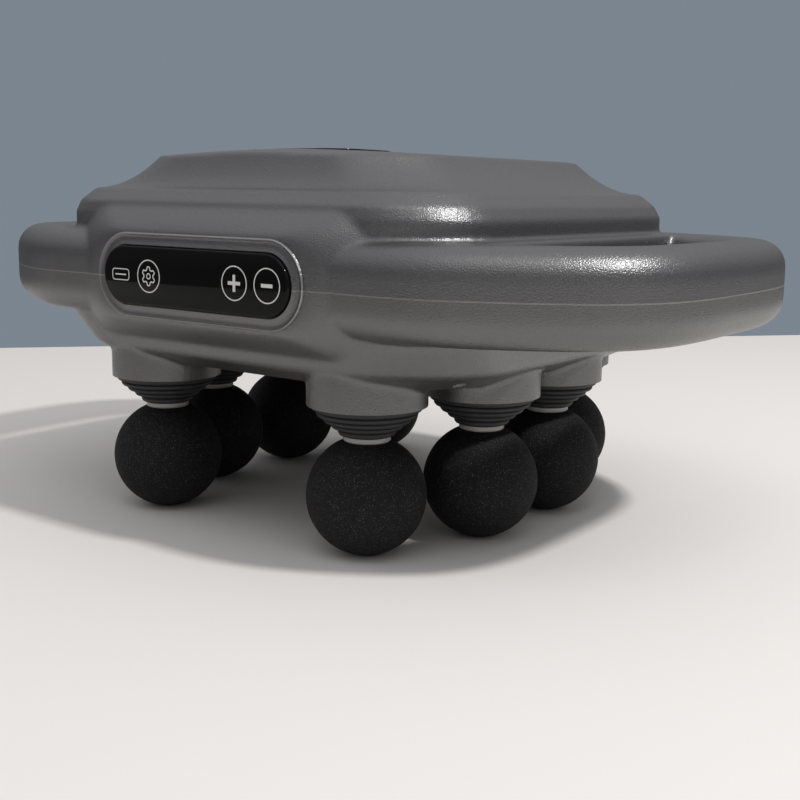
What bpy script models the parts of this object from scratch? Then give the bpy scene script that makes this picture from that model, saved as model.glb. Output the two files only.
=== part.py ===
"""Cordless percussion massager with eight ball heads, in metres, +Z up, standing on its balls.

The display faces -X and the two loop handles lie along +Y and -Y. Every size is a real one.
"""

import math

import bmesh
import bpy
import numpy as np

# Fits that serve the whole model
GAP = 0.0003
WALL = 0.0026
OVERRUN = 0.004
FUSE = 0.001

# Heads: one ball, stem and bellows each
BALL_RADIUS = 0.025
BALL_FLAT_DEPTH = 0.0005
OUTER_HEAD_X = 0.0805
OUTER_HEAD_Y = 0.0599
INNER_HEAD_X = 0.0286
INNER_HEAD_Y = 0.0823
STEM_RADIUS = 0.005
STEM_NECK_RADIUS = 0.003
STEM_IN_BALL = 0.026
RING_RADIUS = 0.0098
RING_BOTTOM_Z = 0.0473
RING_TOP_Z = 0.0505
BOOT_SEAT_RADIUS = 0.0090
BOOT_SEAT_TOP_Z = 0.0524
SPOOL_RADIUS = 0.007
SPOOL_FLANGE = 0.002

# Bellows: ribs step from the neck above the ring out to the collar
BELLOWS_NECK_RADIUS = 0.0110
BELLOWS_TOP_RADIUS = 0.0224
BELLOWS_STEPS = 4
BELLOWS_WALL = 0.0013
BELLOWS_RIB_TAPER = 0.0005
BELLOWS_FLANGE = 0.0012
BELLOWS_FLANGE_INNER_RADIUS = 0.0170

# Collars of the lower housing, and the guide blocks on its floor
COLLAR_RADIUS = 0.025
COLLAR_WALL = 0.0015
COLLAR_BOTTOM_Z = 0.0625
COLLAR_TOP_Z = 0.0784
COLLAR_WELL_RADIUS = 0.0165
COLLAR_WELL_TOP_Z = 0.0850
GUIDE_TUBE_RADIUS = 0.0082
GUIDE_TOP_Z = 0.0876
GUIDE_BASE_HALF_WIDTH = 0.0110
GUIDE_BASE_THICKNESS = 0.0030

# Body sections: half length in X, half width in Y, corner radius, height
FLOOR_X, FLOOR_Y, FLOOR_CORNER, FLOOR_Z = 0.0920, 0.0970, 0.0260, 0.0705
BILGE_X, BILGE_Y, BILGE_CORNER, BILGE_Z = 0.1045, 0.1098, 0.0330, 0.0766
CREASE_X, CREASE_Y, CREASE_CORNER, CREASE_Z = 0.1062, 0.1115, 0.0340, 0.0790
WAIST_X, WAIST_Y, WAIST_CORNER, WAIST_LOW_Z = 0.1090, 0.1130, 0.0370, 0.0900
WALL_X, WALL_Y, WALL_CORNER = 0.1079, 0.1124, 0.0369
CHAMFER_X, CHAMFER_Y, CHAMFER_CORNER = 0.1064, 0.1092, 0.0352
SHOULDER_X, SHOULDER_Y, SHOULDER_CORNER = 0.0996, 0.1022, 0.0290
PLATEAU_X, PLATEAU_Y, PLATEAU_CORNER = 0.0866, 0.0746, 0.0320
CROWN_X, CROWN_Y, CROWN_CORNER = 0.0616, 0.0566, 0.0226
SUMMIT_X, SUMMIT_Y, SUMMIT_CORNER = 0.0300, 0.0200, 0.0080
WAIST_HIGH_RISE_SHARE, WALL_LOW_RISE_SHARE, WALL_TOP_RISE_SHARE = 0.2916, 0.3631, 0.4776
CHAMFER_RISE_SHARE, SHOULDER_RISE_SHARE, PLATEAU_RISE_SHARE = 0.5742, 0.6726, 0.9374
CROWN_RISE_SHARE, SUMMIT_RISE_SHARE = 0.9750, 0.9893
COVE_STEPS = 3
COVE_POWER = 2
CROWN_WALL_SHARE = 1.5

# Belt: handles, with the loops that open them, and the display's front
BELT_HALF_X = 0.1120
BELT_HALF_Y = 0.1861
BELT_POWER = 3.6
BELT_SWELL = 0.0082
BELT_SWELL_Y = 0.1040
BELT_SWELL_REACH = 0.0350
BELT_TOP_Z = 0.1299
BELT_BOTTOM_Z = 0.0925
BELT_EDGE_RADIUS = 0.0118
BELT_POINTS = 56
HANDLE_WIDTH = 0.0285
LOOP_INNER_Y = 0.1162
LOOP_SEARCH_X = 0.0880
LOOP_SEARCH_Y = 0.0210
LOOP_CORNER = 0.0130
LOOP_EDGE_RADIUS = 0.0080
LOOP_POINTS = 28
BODY_SIDE_FLARE_SHARE = 0.15
BEND_WEIGHT = 0.0400
EDGE_STEPS = 2

# Parting plane, display end and charging end
PARTING_Z = 0.1107
DISPLAY_Z = 0.1118
RIM_HALF_LENGTH = 0.0592
RIM_HALF_HEIGHT = 0.0172
RIM_FACE_X = 0.1194
RIM_WIDTH = 0.0012
RIM_DEPTH = 0.0005
FAIRING_FACE_X = 0.1182
FAIRING_MID_X = 0.1150
FAIRING_ROOT_X = 0.1050
FAIRING_MID_HALF_Y, FAIRING_MID_HALF_Z, FAIRING_MID_CORNER = 0.0700, 0.0215, 0.0205
FAIRING_ROOT_HALF_Y, FAIRING_ROOT_HALF_Z, FAIRING_ROOT_CORNER = 0.0820, 0.0280, 0.0220
LENS_HALF_LENGTH = 0.0540
LENS_HALF_HEIGHT = 0.0124
LENS_THICKNESS = 0.0030
LENS_FACE_X = 0.1212
LENS_LEDGE = 0.0035
DISPLAY_BOARD_HALF_LENGTH = 0.0525
DISPLAY_BOARD_HALF_HEIGHT = 0.0112
DISPLAY_BOARD_THICKNESS = 0.0016
JACK_Z = 0.1030
JACK_RADIUS = 0.0055
JACK_FLANGE_RADIUS = 0.0070
JACK_FLANGE = 0.0015
JACK_BODY_LENGTH = 0.0160
JACK_BORE_RADIUS = 0.0029
JACK_BORE_DEPTH = 0.0090
JACK_PIN_RADIUS = 0.0010
JACK_FACE_X = LENS_FACE_X

# Top plate
TOP_PLATE_X = -0.0325
TOP_PLATE_HALF_X = 0.0230
TOP_PLATE_HALF_Y = 0.0240
TOP_PLATE_CORNER = 0.0150
TOP_PLATE_TOP_Z = 0.1666
TOP_PLATE_THICKNESS = 0.0020

# Drive: rocker, eccentric, bearing and motor over the middle of each pair of heads
PIVOT_Z = 0.0983
ROCKER_THICKNESS = 0.0040
ROCKER_HALF_WIDTH = 0.0065
ROCKER_HUB_RADIUS = 0.0050
ROCKER_HUB_HALF_LENGTH = 0.0059
ROCKER_SLOT_MARGIN = 0.0009
ROCKER_TIP = 0.0045
ROCKER_TINE_INNER = 0.0071
ROCKER_TINE = 0.0020
ROCKER_TINE_HALF_WIDTH = 0.0045
ROCKER_TINE_TOP = 0.0102
SPOOL_PLAY = 0.0011
PIN_RADIUS = 0.0020
PIN_HEAD_RADIUS = 0.0032
PIN_HEAD = 0.0010
LUG_THICKNESS = 0.0040
LUG_HALF_WIDTH = 0.0045
ECCENTRICITY = 0.0011
ECCENTRIC_RADIUS = 0.0027
ECCENTRIC_FLANGE_RADIUS = 0.0034
ECCENTRIC_FLANGE = 0.0005
BEARING_RADIUS = 0.0040
BEARING_WIDTH = 0.0040
BEARING_MIDDLE_Z = 0.1063
SHAFT_RADIUS = 0.00115
SHAFT_TOP_Z = 0.1195
MOTOR_RADIUS = 0.0140
MOTOR_BOTTOM_Z = 0.1150
MOTOR_TOP_RISE_SHARE = 0.6315
MOTOR_BOSS_RADIUS = 0.0040
MOTOR_EDGE = 0.0015
TERMINAL_HALF_WIDTH = 0.0016
TERMINAL_THICKNESS = 0.0006
TERMINAL_HEIGHT = 0.0025
TERMINAL_OFFSET = 0.0080

# Motor frame and the posts under it
FRAME_HALF_X = 0.0860
FRAME_HALF_Y = 0.1040
FRAME_CORNER = 0.0500
FRAME_WINDOW_HALF_X = 0.0240
FRAME_WINDOW_HALF_Y = 0.0380
FRAME_WINDOW_CORNER = 0.0080
FRAME_BOTTOM_Z = 0.1122
FRAME_THICKNESS = 0.0025
FRAME_POST_RADIUS = 0.0045
FRAME_POST_INSET_X = 0.0080
FRAME_POST_INSET_Y = 0.0060

# Boards and battery
BOARD_HALF_X = 0.0350
BOARD_HALF_Y = 0.0500
BOARD_THICKNESS = 0.0016
STANDOFF_RADIUS = 0.0030
STANDOFF_HEIGHT = 0.0040
STANDOFF_X, STANDOFF_Y = 0.0305, 0.0450
CAPACITOR_RADIUS = 0.0050
CAPACITOR_HEIGHT = 0.0110
CONNECTOR_HALF_X, CONNECTOR_HALF_Y, CONNECTOR_HEIGHT = 0.0030, 0.0070, 0.0060
CHIP_HALF, CHIP_HEIGHT = 0.0045, 0.0012
CELL_RADIUS = 0.00925
CELL_LENGTH = 0.0655
CELLS = 4
CELL_ARC_POINTS = 7
CLAMP_HALF_WIDTH = 0.0100
CLAMP_THICKNESS = 0.0016
CLAMP_FOOT = 0.0110

# Screw posts
SCREW_RADIUS = 0.0015
SMALL_SCREW_RADIUS = 0.0010
SCREW_PILOT_DEPTH = 0.0120
FRAME_PILOT_DEPTH = 0.0100
SCREW_SEAT_Z = 0.1010
COUNTERBORE_RADIUS = 0.0033
POST_RADIUS = 0.0048
CORNER_POST_X, CORNER_POST_Y = 0.0700, 0.0985

# Facets
ROUND_SEGMENTS = 14
TUBE_SEGMENTS = 10
SMALL_SEGMENTS = 8
BELLOWS_SEGMENTS = 12
BALL_STEPS = 7
CORNER_STEPS = 4
STADIUM_END_SHARE = 0.999

# Quadrants in the order of the pairs: front right, front left, rear left, rear right
QUADRANTS = ((-1, -1), (-1, 1), (1, 1), (1, -1))

PAIR_MIDDLE_X = (OUTER_HEAD_X + INNER_HEAD_X) / 2
PAIR_MIDDLE_Y = (OUTER_HEAD_Y + INNER_HEAD_Y) / 2
PAIR_ARM = math.hypot(OUTER_HEAD_X - INNER_HEAD_X, INNER_HEAD_Y - OUTER_HEAD_Y) / 2
BALL_CENTRE_Z = BALL_RADIUS - BALL_FLAT_DEPTH
SPOOL_HALF_HEIGHT = ROCKER_THICKNESS / 2 + SPOOL_PLAY
FLOOR_INSIDE_Z = FLOOR_Z + WALL
COLLAR_BORE_RADIUS = COLLAR_RADIUS - COLLAR_WALL
COLLAR_BORE_TOP_Z = FLOOR_Z - GAP
FRAME_TOP_Z = FRAME_BOTTOM_Z + FRAME_THICKNESS
FRAME_POST_X = FRAME_HALF_X - FRAME_POST_INSET_X
FRAME_POST_Y = FRAME_HALF_Y - FRAME_POST_INSET_Y
BOARD_BOTTOM_Z = FRAME_TOP_Z + STANDOFF_HEIGHT + GAP
PACK_BOTTOM_Z = FLOOR_INSIDE_Z + GAP
PACK_TOP_Z = PACK_BOTTOM_Z + 2 * CELL_RADIUS
PACK_HALF_Y = CELLS * CELL_RADIUS
CLAMP_FOOT_Y = PACK_HALF_Y + GAP + CLAMP_THICKNESS + CLAMP_FOOT / 2
TOP_PLATE_SEAT_Z = TOP_PLATE_TOP_Z - TOP_PLATE_THICKNESS - GAP
UPPER_RISE = TOP_PLATE_TOP_Z - PARTING_Z
WAIST_HIGH_Z = PARTING_Z + WAIST_HIGH_RISE_SHARE * UPPER_RISE
WALL_LOW_Z = PARTING_Z + WALL_LOW_RISE_SHARE * UPPER_RISE
WALL_TOP_Z = PARTING_Z + WALL_TOP_RISE_SHARE * UPPER_RISE
CHAMFER_Z = PARTING_Z + CHAMFER_RISE_SHARE * UPPER_RISE
SHOULDER_Z = PARTING_Z + SHOULDER_RISE_SHARE * UPPER_RISE
PLATEAU_Z = PARTING_Z + PLATEAU_RISE_SHARE * UPPER_RISE
CROWN_Z = PARTING_Z + CROWN_RISE_SHARE * UPPER_RISE
SUMMIT_Z = PARTING_Z + SUMMIT_RISE_SHARE * UPPER_RISE
MOTOR_TOP_Z = PARTING_Z + MOTOR_TOP_RISE_SHARE * UPPER_RISE
LOOP_MIDDLE_Y = (LOOP_INNER_Y + BELT_HALF_Y - HANDLE_WIDTH) / 2
HANDLE_POST_Y = BELT_HALF_Y - HANDLE_WIDTH / 2


def clear_scene():
    for item in list(bpy.data.objects):
        bpy.data.objects.remove(item, do_unlink=True)


def finish(name, colour, roughness, metallic=0.0):
    """A plain surface for one sub-part."""
    material = bpy.data.materials.new(name)
    material.use_nodes = True
    shader = material.node_tree.nodes["Principled BSDF"]
    shader.inputs["Base Color"].default_value = (*colour, 1.0)
    shader.inputs["Roughness"].default_value = roughness
    shader.inputs["Metallic"].default_value = metallic
    return material


def make_object(name, shape, material=None, smooth=False):
    """An object from (points, faces), its faces turned outward."""
    points, faces = shape
    mesh = bpy.data.meshes.new(name)
    mesh.from_pydata([tuple(map(float, point)) for point in points], [], faces)
    work = bmesh.new()
    work.from_mesh(mesh)
    bmesh.ops.recalc_face_normals(work, faces=work.faces)
    work.to_mesh(mesh)
    work.free()
    if smooth:
        mesh.shade_smooth()
    if material:
        mesh.materials.append(material)
    item = bpy.data.objects.new(name, mesh)
    bpy.context.scene.collection.objects.link(item)
    return item


def tool(name, shape):
    """A hidden shape that a Boolean uses."""
    item = make_object("tool_" + name, shape)
    item.hide_render = True
    item.display_type = "WIRE"
    return item


def boolean(item, operation, operand):
    step = item.modifiers.new(operation.lower(), "BOOLEAN")
    step.operation = operation
    step.solver = "EXACT"
    step.object = operand


def apply_steps(item, steps):
    """Boolean steps with shapes that are given in the item's own frame and go with it."""
    for index, (operation, shape) in enumerate(steps):
        operand = tool(f"{item.name}_{index}", shape)
        operand.parent = item
        boolean(item, operation, operand)


def join_shapes(*shapes):
    """Separate solids as one (points, faces)."""
    points, faces = [], []
    for more_points, more_faces in shapes:
        first = len(points)
        points += list(more_points)
        faces += [tuple(first + index for index in face) for face in more_faces]
    return points, faces


def moved(shape, x=0.0, y=0.0, z=0.0, turn=0.0):
    """The shape turned about Z, then moved."""
    points, faces = shape
    c, s = math.cos(turn), math.sin(turn)
    return [(c * px - s * py + x, s * px + c * py + y, pz + z) for px, py, pz in points], faces


def loft(rings, closed=False):
    """A solid through outlines of equal length, capped at both ends or closed into a ring."""
    count = len(rings[0])
    points = [point for ring in rings for point in ring]
    faces = [] if closed else [tuple(range(count)), tuple(range(len(points) - count, len(points)))]
    for level in range(len(rings) if closed else len(rings) - 1):
        low, high = level * count, (level + 1) % len(rings) * count
        for index in range(count):
            after = (index + 1) % count
            faces.append((low + index, low + after, high + after, high + index))
    return points, faces


def prism(outline, bottom, top):
    return loft([[(x, y, z) for x, y in outline] for z in (bottom, top)])


def revolve(profile, segments):
    """A solid from a closed (radius, height) profile turned about Z; points on the axis leave flat ends."""
    on_axis = [index for index, (radius, _) in enumerate(profile) if radius == 0]
    start = on_axis[-1] if on_axis else 0
    rings = []
    for radius, height in profile[start:] + profile[:start]:
        if radius == 0:
            continue
        turns = [math.tau * (index + 0.5) / segments for index in range(segments)]
        rings.append([(radius * math.cos(angle), radius * math.sin(angle), height) for angle in turns])
    return loft(rings, closed=not on_axis)


def cylinder(radius, bottom, top, segments=ROUND_SEGMENTS):
    return revolve([(0, bottom), (radius, bottom), (radius, top), (0, top)], segments)


def box(half_x, half_y, bottom, top, x=0.0, y=0.0):
    outline = [(x + side_x * half_x, y + side_y * half_y) for side_x, side_y in QUADRANTS[::-1]]
    return prism(outline, bottom, top)


def rounded_outline(half_x, half_y, corner):
    """A rectangle with round corners, counter-clockwise."""
    outline = []
    for quarter, (side_x, side_y) in enumerate(((1, 1), (-1, 1), (-1, -1), (1, -1))):
        for step in range(CORNER_STEPS + 1):
            angle = (quarter + step / CORNER_STEPS) * math.pi / 2
            x = side_x * (half_x - corner) + corner * math.cos(angle)
            y = side_y * (half_y - corner) + corner * math.sin(angle)
            outline.append((x, y))
    return outline


def section(half_x, half_y, corner, z):
    return [(x, y, z) for x, y in rounded_outline(half_x, half_y, corner)]


def stadium(half_length, half_height, near_x, far_x):
    """A stadium across Y, its ends round, from near_x to far_x at the display's height."""
    outline = rounded_outline(half_length, half_height, half_height * STADIUM_END_SHARE)
    return loft([[(x, y, DISPLAY_Z + z) for y, z in outline] for x in (near_x, far_x)])


def body_shape(inset):
    """The body without its belt; inset is the wall for the hollow and zero for the skin."""
    rows = [
        (FLOOR_X, FLOOR_Y, FLOOR_CORNER, FLOOR_Z + inset),
        (BILGE_X, BILGE_Y, BILGE_CORNER, BILGE_Z + inset / 2),
        (CREASE_X, CREASE_Y, CREASE_CORNER, CREASE_Z + inset / 4),
        (WAIST_X, WAIST_Y, WAIST_CORNER, WAIST_LOW_Z),
        (WAIST_X, WAIST_Y, WAIST_CORNER, WAIST_HIGH_Z),
        (WALL_X, WALL_Y, WALL_CORNER, WALL_LOW_Z),
        (WALL_X, WALL_Y, WALL_CORNER, WALL_TOP_Z - inset / 4),
        (CHAMFER_X, CHAMFER_Y, CHAMFER_CORNER, CHAMFER_Z - inset / 2),
    ]
    for step in range(COVE_STEPS + 1):
        inward = step / COVE_STEPS
        upward = inward ** COVE_POWER
        rows.append((
            SHOULDER_X + (PLATEAU_X - SHOULDER_X) * inward,
            SHOULDER_Y + (PLATEAU_Y - SHOULDER_Y) * inward,
            SHOULDER_CORNER + (PLATEAU_CORNER - SHOULDER_CORNER) * inward,
            SHOULDER_Z + (PLATEAU_Z - SHOULDER_Z) * upward - inset,
        ))
    rows.append((CROWN_X, CROWN_Y, CROWN_CORNER, CROWN_Z - inset * CROWN_WALL_SHARE))
    rows.append((SUMMIT_X, SUMMIT_Y, SUMMIT_CORNER, SUMMIT_Z - inset * CROWN_WALL_SHARE))
    return loft([section(x - inset, y - inset, corner - inset, z) for x, y, corner, z in rows])


def dense_belt():
    """The belt's outline in small steps: a squared ellipse, fuller where the handles leave the body."""
    points = []
    for step in range(720):
        angle = math.tau * step / 720
        c, s = math.cos(angle), math.sin(angle)
        reach = (abs(c) ** BELT_POWER + abs(s) ** BELT_POWER) ** (-1 / BELT_POWER)
        x, y = BELT_HALF_X * reach * c, BELT_HALF_Y * reach * s
        swell = BELT_SWELL * math.exp(-((abs(y) - BELT_SWELL_Y) / BELT_SWELL_REACH) ** 2)
        points.append((x + swell * math.tanh(2 * x / BELT_SWELL_REACH), y))
    return np.array(points)


def dense_loop(belt):
    """The handle's opening in small steps: one handle's width inside the belt and clear of the body."""
    points = []
    for step in range(360):
        angle = math.tau * step / 360
        reach_x, reach_y = LOOP_SEARCH_X * math.cos(angle), LOOP_SEARCH_Y * math.sin(angle)
        low, high = 0.0, 2.0
        for _ in range(24):
            middle = (low + high) / 2
            x, y = middle * reach_x, LOOP_MIDDLE_Y + middle * reach_y
            to_belt = HANDLE_WIDTH - np.hypot(belt[:, 0] - x, belt[:, 1] - y).min()
            to_body = LOOP_INNER_Y - y
            a, b = max(to_belt + LOOP_CORNER, 0), max(to_body + LOOP_CORNER, 0)
            outside = min(max(to_belt, to_body) + LOOP_CORNER, 0) + math.hypot(a, b) > LOOP_CORNER
            low, high = (low, middle) if outside else (middle, high)
        points.append((low * reach_x, LOOP_MIDDLE_Y + low * reach_y))
    return np.array(points)


def spaced(points, count):
    """Fewer points on a closed outline, closer together where it bends, with their outward normals."""
    ahead = np.roll(points, -1, axis=0) - points
    heading = np.unwrap(np.arctan2(ahead[:, 1], ahead[:, 0]))
    turning = np.abs(np.diff(np.append(heading, heading[0] + math.tau)))
    travelled = np.concatenate([[0], np.cumsum(np.hypot(*ahead.T) + BEND_WEIGHT * turning)])
    wanted = np.arange(count) * travelled[-1] / count
    closed = np.vstack([points, points[:1]])
    chosen = np.stack([np.interp(wanted, travelled, closed[:, axis]) for axis in (0, 1)], axis=1)
    chord = np.roll(chosen, -1, axis=0) - np.roll(chosen, 1, axis=0)
    chord /= np.hypot(*chord.T)[:, None]
    return chosen, np.stack([chord[:, 1], -chord[:, 0]], axis=1)


def ring_at(outline, offset, z, share=1.0):
    points, normals = outline
    return [(x, y, z) for x, y in points + normals * offset * np.reshape(share, (-1, 1))]


def belt_shape(outline, inset):
    """The belt with round edges; inset is the wall for its hollow and zero for its skin."""
    radius = BELT_EDGE_RADIUS - inset
    low, high = BELT_BOTTOM_Z + BELT_EDGE_RADIUS, BELT_TOP_Z - BELT_EDGE_RADIUS
    rings = []
    turns = [step / EDGE_STEPS * math.pi / 2 for step in range(EDGE_STEPS + 1)]
    for angle in turns:
        out, up = radius * math.sin(angle), radius * math.cos(angle)
        rings.append(ring_at(outline, out - BELT_EDGE_RADIUS, low - up))
    for angle in turns:
        out, up = radius * math.cos(angle), radius * math.sin(angle)
        rings.append(ring_at(outline, out - BELT_EDGE_RADIUS, high + up))
    return loft(rings)


def loop_shape(outline, wall):
    """What opens a handle, with the round edges of the grip; wall thickens it into the loop's own wall."""
    flare = BODY_SIDE_FLARE_SHARE + (1 - BODY_SIDE_FLARE_SHARE) * np.clip(1 + 2 * outline[1][:, 1], 0, 1)
    radius = LOOP_EDGE_RADIUS - wall
    low, high = BELT_BOTTOM_Z + LOOP_EDGE_RADIUS, BELT_TOP_Z - LOOP_EDGE_RADIUS
    base = (outline[0] + outline[1] * wall, outline[1])
    end = FUSE if wall else OVERRUN
    rings = [ring_at(base, radius, BELT_BOTTOM_Z + wall - end, flare)]
    for step in range(EDGE_STEPS + 1):
        angle = step / EDGE_STEPS * math.pi / 2
        rings.append(ring_at(base, radius * (1 - math.sin(angle)), low - radius * math.cos(angle), flare))
    for step in range(EDGE_STEPS + 1):
        angle = step / EDGE_STEPS * math.pi / 2
        rings.append(ring_at(base, radius * (1 - math.cos(angle)), high + radius * math.sin(angle), flare))
    rings.append(ring_at(base, radius, BELT_TOP_Z - wall + end, flare))
    return loft(rings)


def both_sides(shape):
    """The shape and its mirror image across the XZ plane."""
    points, faces = shape
    return join_shapes(shape, ([(x, -y, z) for x, y, z in points], [face[::-1] for face in faces]))


def fairing_shape(inset):
    """The swelling that carries the display at the front, and its like at the rear."""
    rows = (
        (FAIRING_ROOT_X - 4 * inset, FAIRING_ROOT_HALF_Y, FAIRING_ROOT_HALF_Z, FAIRING_ROOT_CORNER),
        (FAIRING_MID_X - inset, FAIRING_MID_HALF_Y, FAIRING_MID_HALF_Z, FAIRING_MID_CORNER),
        (FAIRING_FACE_X - inset, RIM_HALF_LENGTH + RIM_WIDTH, RIM_HALF_HEIGHT + RIM_WIDTH, RIM_HALF_HEIGHT),
    )
    ends = []
    for side in (-1, 1):
        rings = []
        for x, half_y, half_z, corner in rows:
            outline = rounded_outline(half_y - inset, half_z - inset, corner - inset)
            rings.append([(side * x, y, DISPLAY_Z + z) for y, z in outline])
        ends.append(loft(rings))
    return join_shapes(*ends)


def head_places():
    """Head centres in the order outer, inner for each pair."""
    for side_x, side_y in QUADRANTS:
        yield side_x * OUTER_HEAD_X, side_y * OUTER_HEAD_Y
        yield side_x * INNER_HEAD_X, side_y * INNER_HEAD_Y


def pair_places():
    """Middle of each pair, and the turn that brings +X from its outer to its inner head."""
    for side_x, side_y in QUADRANTS:
        turn = math.atan2(side_y * (INNER_HEAD_Y - OUTER_HEAD_Y), side_x * (INNER_HEAD_X - OUTER_HEAD_X))
        yield side_x * PAIR_MIDDLE_X, side_y * PAIR_MIDDLE_Y, turn


def post_places():
    """Places of the housing screws."""
    places = [(x * CORNER_POST_X, y * CORNER_POST_Y) for x, y in QUADRANTS]
    return places + [(0.0, HANDLE_POST_Y), (0.0, -HANDLE_POST_Y)]


def frame_post_places():
    return [(FRAME_POST_X, 0.0), (0.0, FRAME_POST_Y), (-FRAME_POST_X, 0.0), (0.0, -FRAME_POST_Y)]


def standoff_places():
    return [(x * STANDOFF_X, y * STANDOFF_Y) for x, y in QUADRANTS]


def at_places(shape, places):
    return join_shapes(*[moved(shape, *place) for place in places])


def at_arms(shape):
    """The shape at both heads of a pair, in the pair's own frame."""
    return join_shapes(moved(shape, -PAIR_ARM), moved(shape, PAIR_ARM))


def build_skin_and_hollow():
    """The outside and the inside of both housing shells, before they are parted."""
    belt_points = dense_belt()
    belt = spaced(belt_points, BELT_POINTS)
    loop = spaced(dense_loop(belt_points), LOOP_POINTS)
    belt_skin = tool("belt_skin", belt_shape(belt, 0.0))
    boolean(belt_skin, "DIFFERENCE", tool("loops", both_sides(loop_shape(loop, 0.0))))
    skin = tool("skin", body_shape(0.0))
    boolean(skin, "UNION", belt_skin)
    boolean(skin, "UNION", tool("fairings", fairing_shape(0.0)))
    rim = stadium(RIM_HALF_LENGTH, RIM_HALF_HEIGHT, -RIM_FACE_X, -FAIRING_ROOT_X)
    boolean(skin, "UNION", tool("rim", rim))
    collar = cylinder(COLLAR_RADIUS, COLLAR_BOTTOM_Z, COLLAR_TOP_Z)
    boolean(skin, "UNION", tool("collars", at_places(collar, head_places())))
    hollow = tool("hollow", belt_shape(belt, WALL))
    boolean(hollow, "DIFFERENCE", tool("loop_walls", both_sides(loop_shape(loop, WALL))))
    boolean(hollow, "UNION", tool("body_hollow", body_shape(WALL)))
    boolean(hollow, "UNION", tool("fairing_hollows", fairing_shape(WALL)))
    well = cylinder(COLLAR_WELL_RADIUS, FLOOR_INSIDE_Z - GAP, COLLAR_WELL_TOP_Z, SMALL_SEGMENTS)
    boolean(hollow, "UNION", tool("wells", at_places(well, head_places())))
    post = cylinder(POST_RADIUS, COLLAR_BOTTOM_Z, SUMMIT_Z + OVERRUN, SMALL_SEGMENTS)
    boolean(hollow, "DIFFERENCE", tool("screw_posts", at_places(post, post_places())))
    return skin, hollow


def display_cuts():
    """Recesses of the rim and the lens, and the window behind the lens."""
    outer = RIM_FACE_X + OVERRUN
    floor_x = -RIM_FACE_X + RIM_DEPTH
    margin = stadium(RIM_HALF_LENGTH - RIM_WIDTH, RIM_HALF_HEIGHT - RIM_WIDTH, -outer, floor_x)
    seat_x = LENS_FACE_X - LENS_THICKNESS - GAP
    seat = stadium(LENS_HALF_LENGTH + GAP, LENS_HALF_HEIGHT + GAP, -outer, -seat_x)
    window = stadium(LENS_HALF_LENGTH - LENS_LEDGE, LENS_HALF_HEIGHT - LENS_LEDGE, -outer, -FAIRING_ROOT_X)
    return margin, seat, window


def build_upper_housing(skin, hollow):
    shape = box(RIM_FACE_X + WALL, BELT_HALF_Y + WALL, PARTING_Z + GAP / 2, SUMMIT_Z + OVERRUN)
    shell = make_object("upper_housing", shape, finish("upper_shell_plastic", (0.105, 0.105, 0.112), 0.38))
    boolean(shell, "INTERSECT", skin)
    boolean(shell, "DIFFERENCE", hollow)
    pilot = cylinder(SCREW_RADIUS + GAP, PARTING_Z - OVERRUN, PARTING_Z + SCREW_PILOT_DEPTH, SMALL_SEGMENTS)
    boolean(shell, "DIFFERENCE", tool("pilot_holes", at_places(pilot, post_places())))
    for name, cut in zip(("margin", "lens_seat", "window"), display_cuts()):
        boolean(shell, "DIFFERENCE", tool("upper_" + name, cut))
    outline = rounded_outline(TOP_PLATE_HALF_X + GAP, TOP_PLATE_HALF_Y + GAP, TOP_PLATE_CORNER + GAP)
    seat = moved(prism(outline, TOP_PLATE_SEAT_Z, SUMMIT_Z + OVERRUN), x=TOP_PLATE_X)
    boolean(shell, "DIFFERENCE", tool("plate_seat", seat))


def across(shape):
    """A shape about Z laid along Y."""
    points, faces = shape
    return [(x, z, -y) for x, y, z in points], faces


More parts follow.
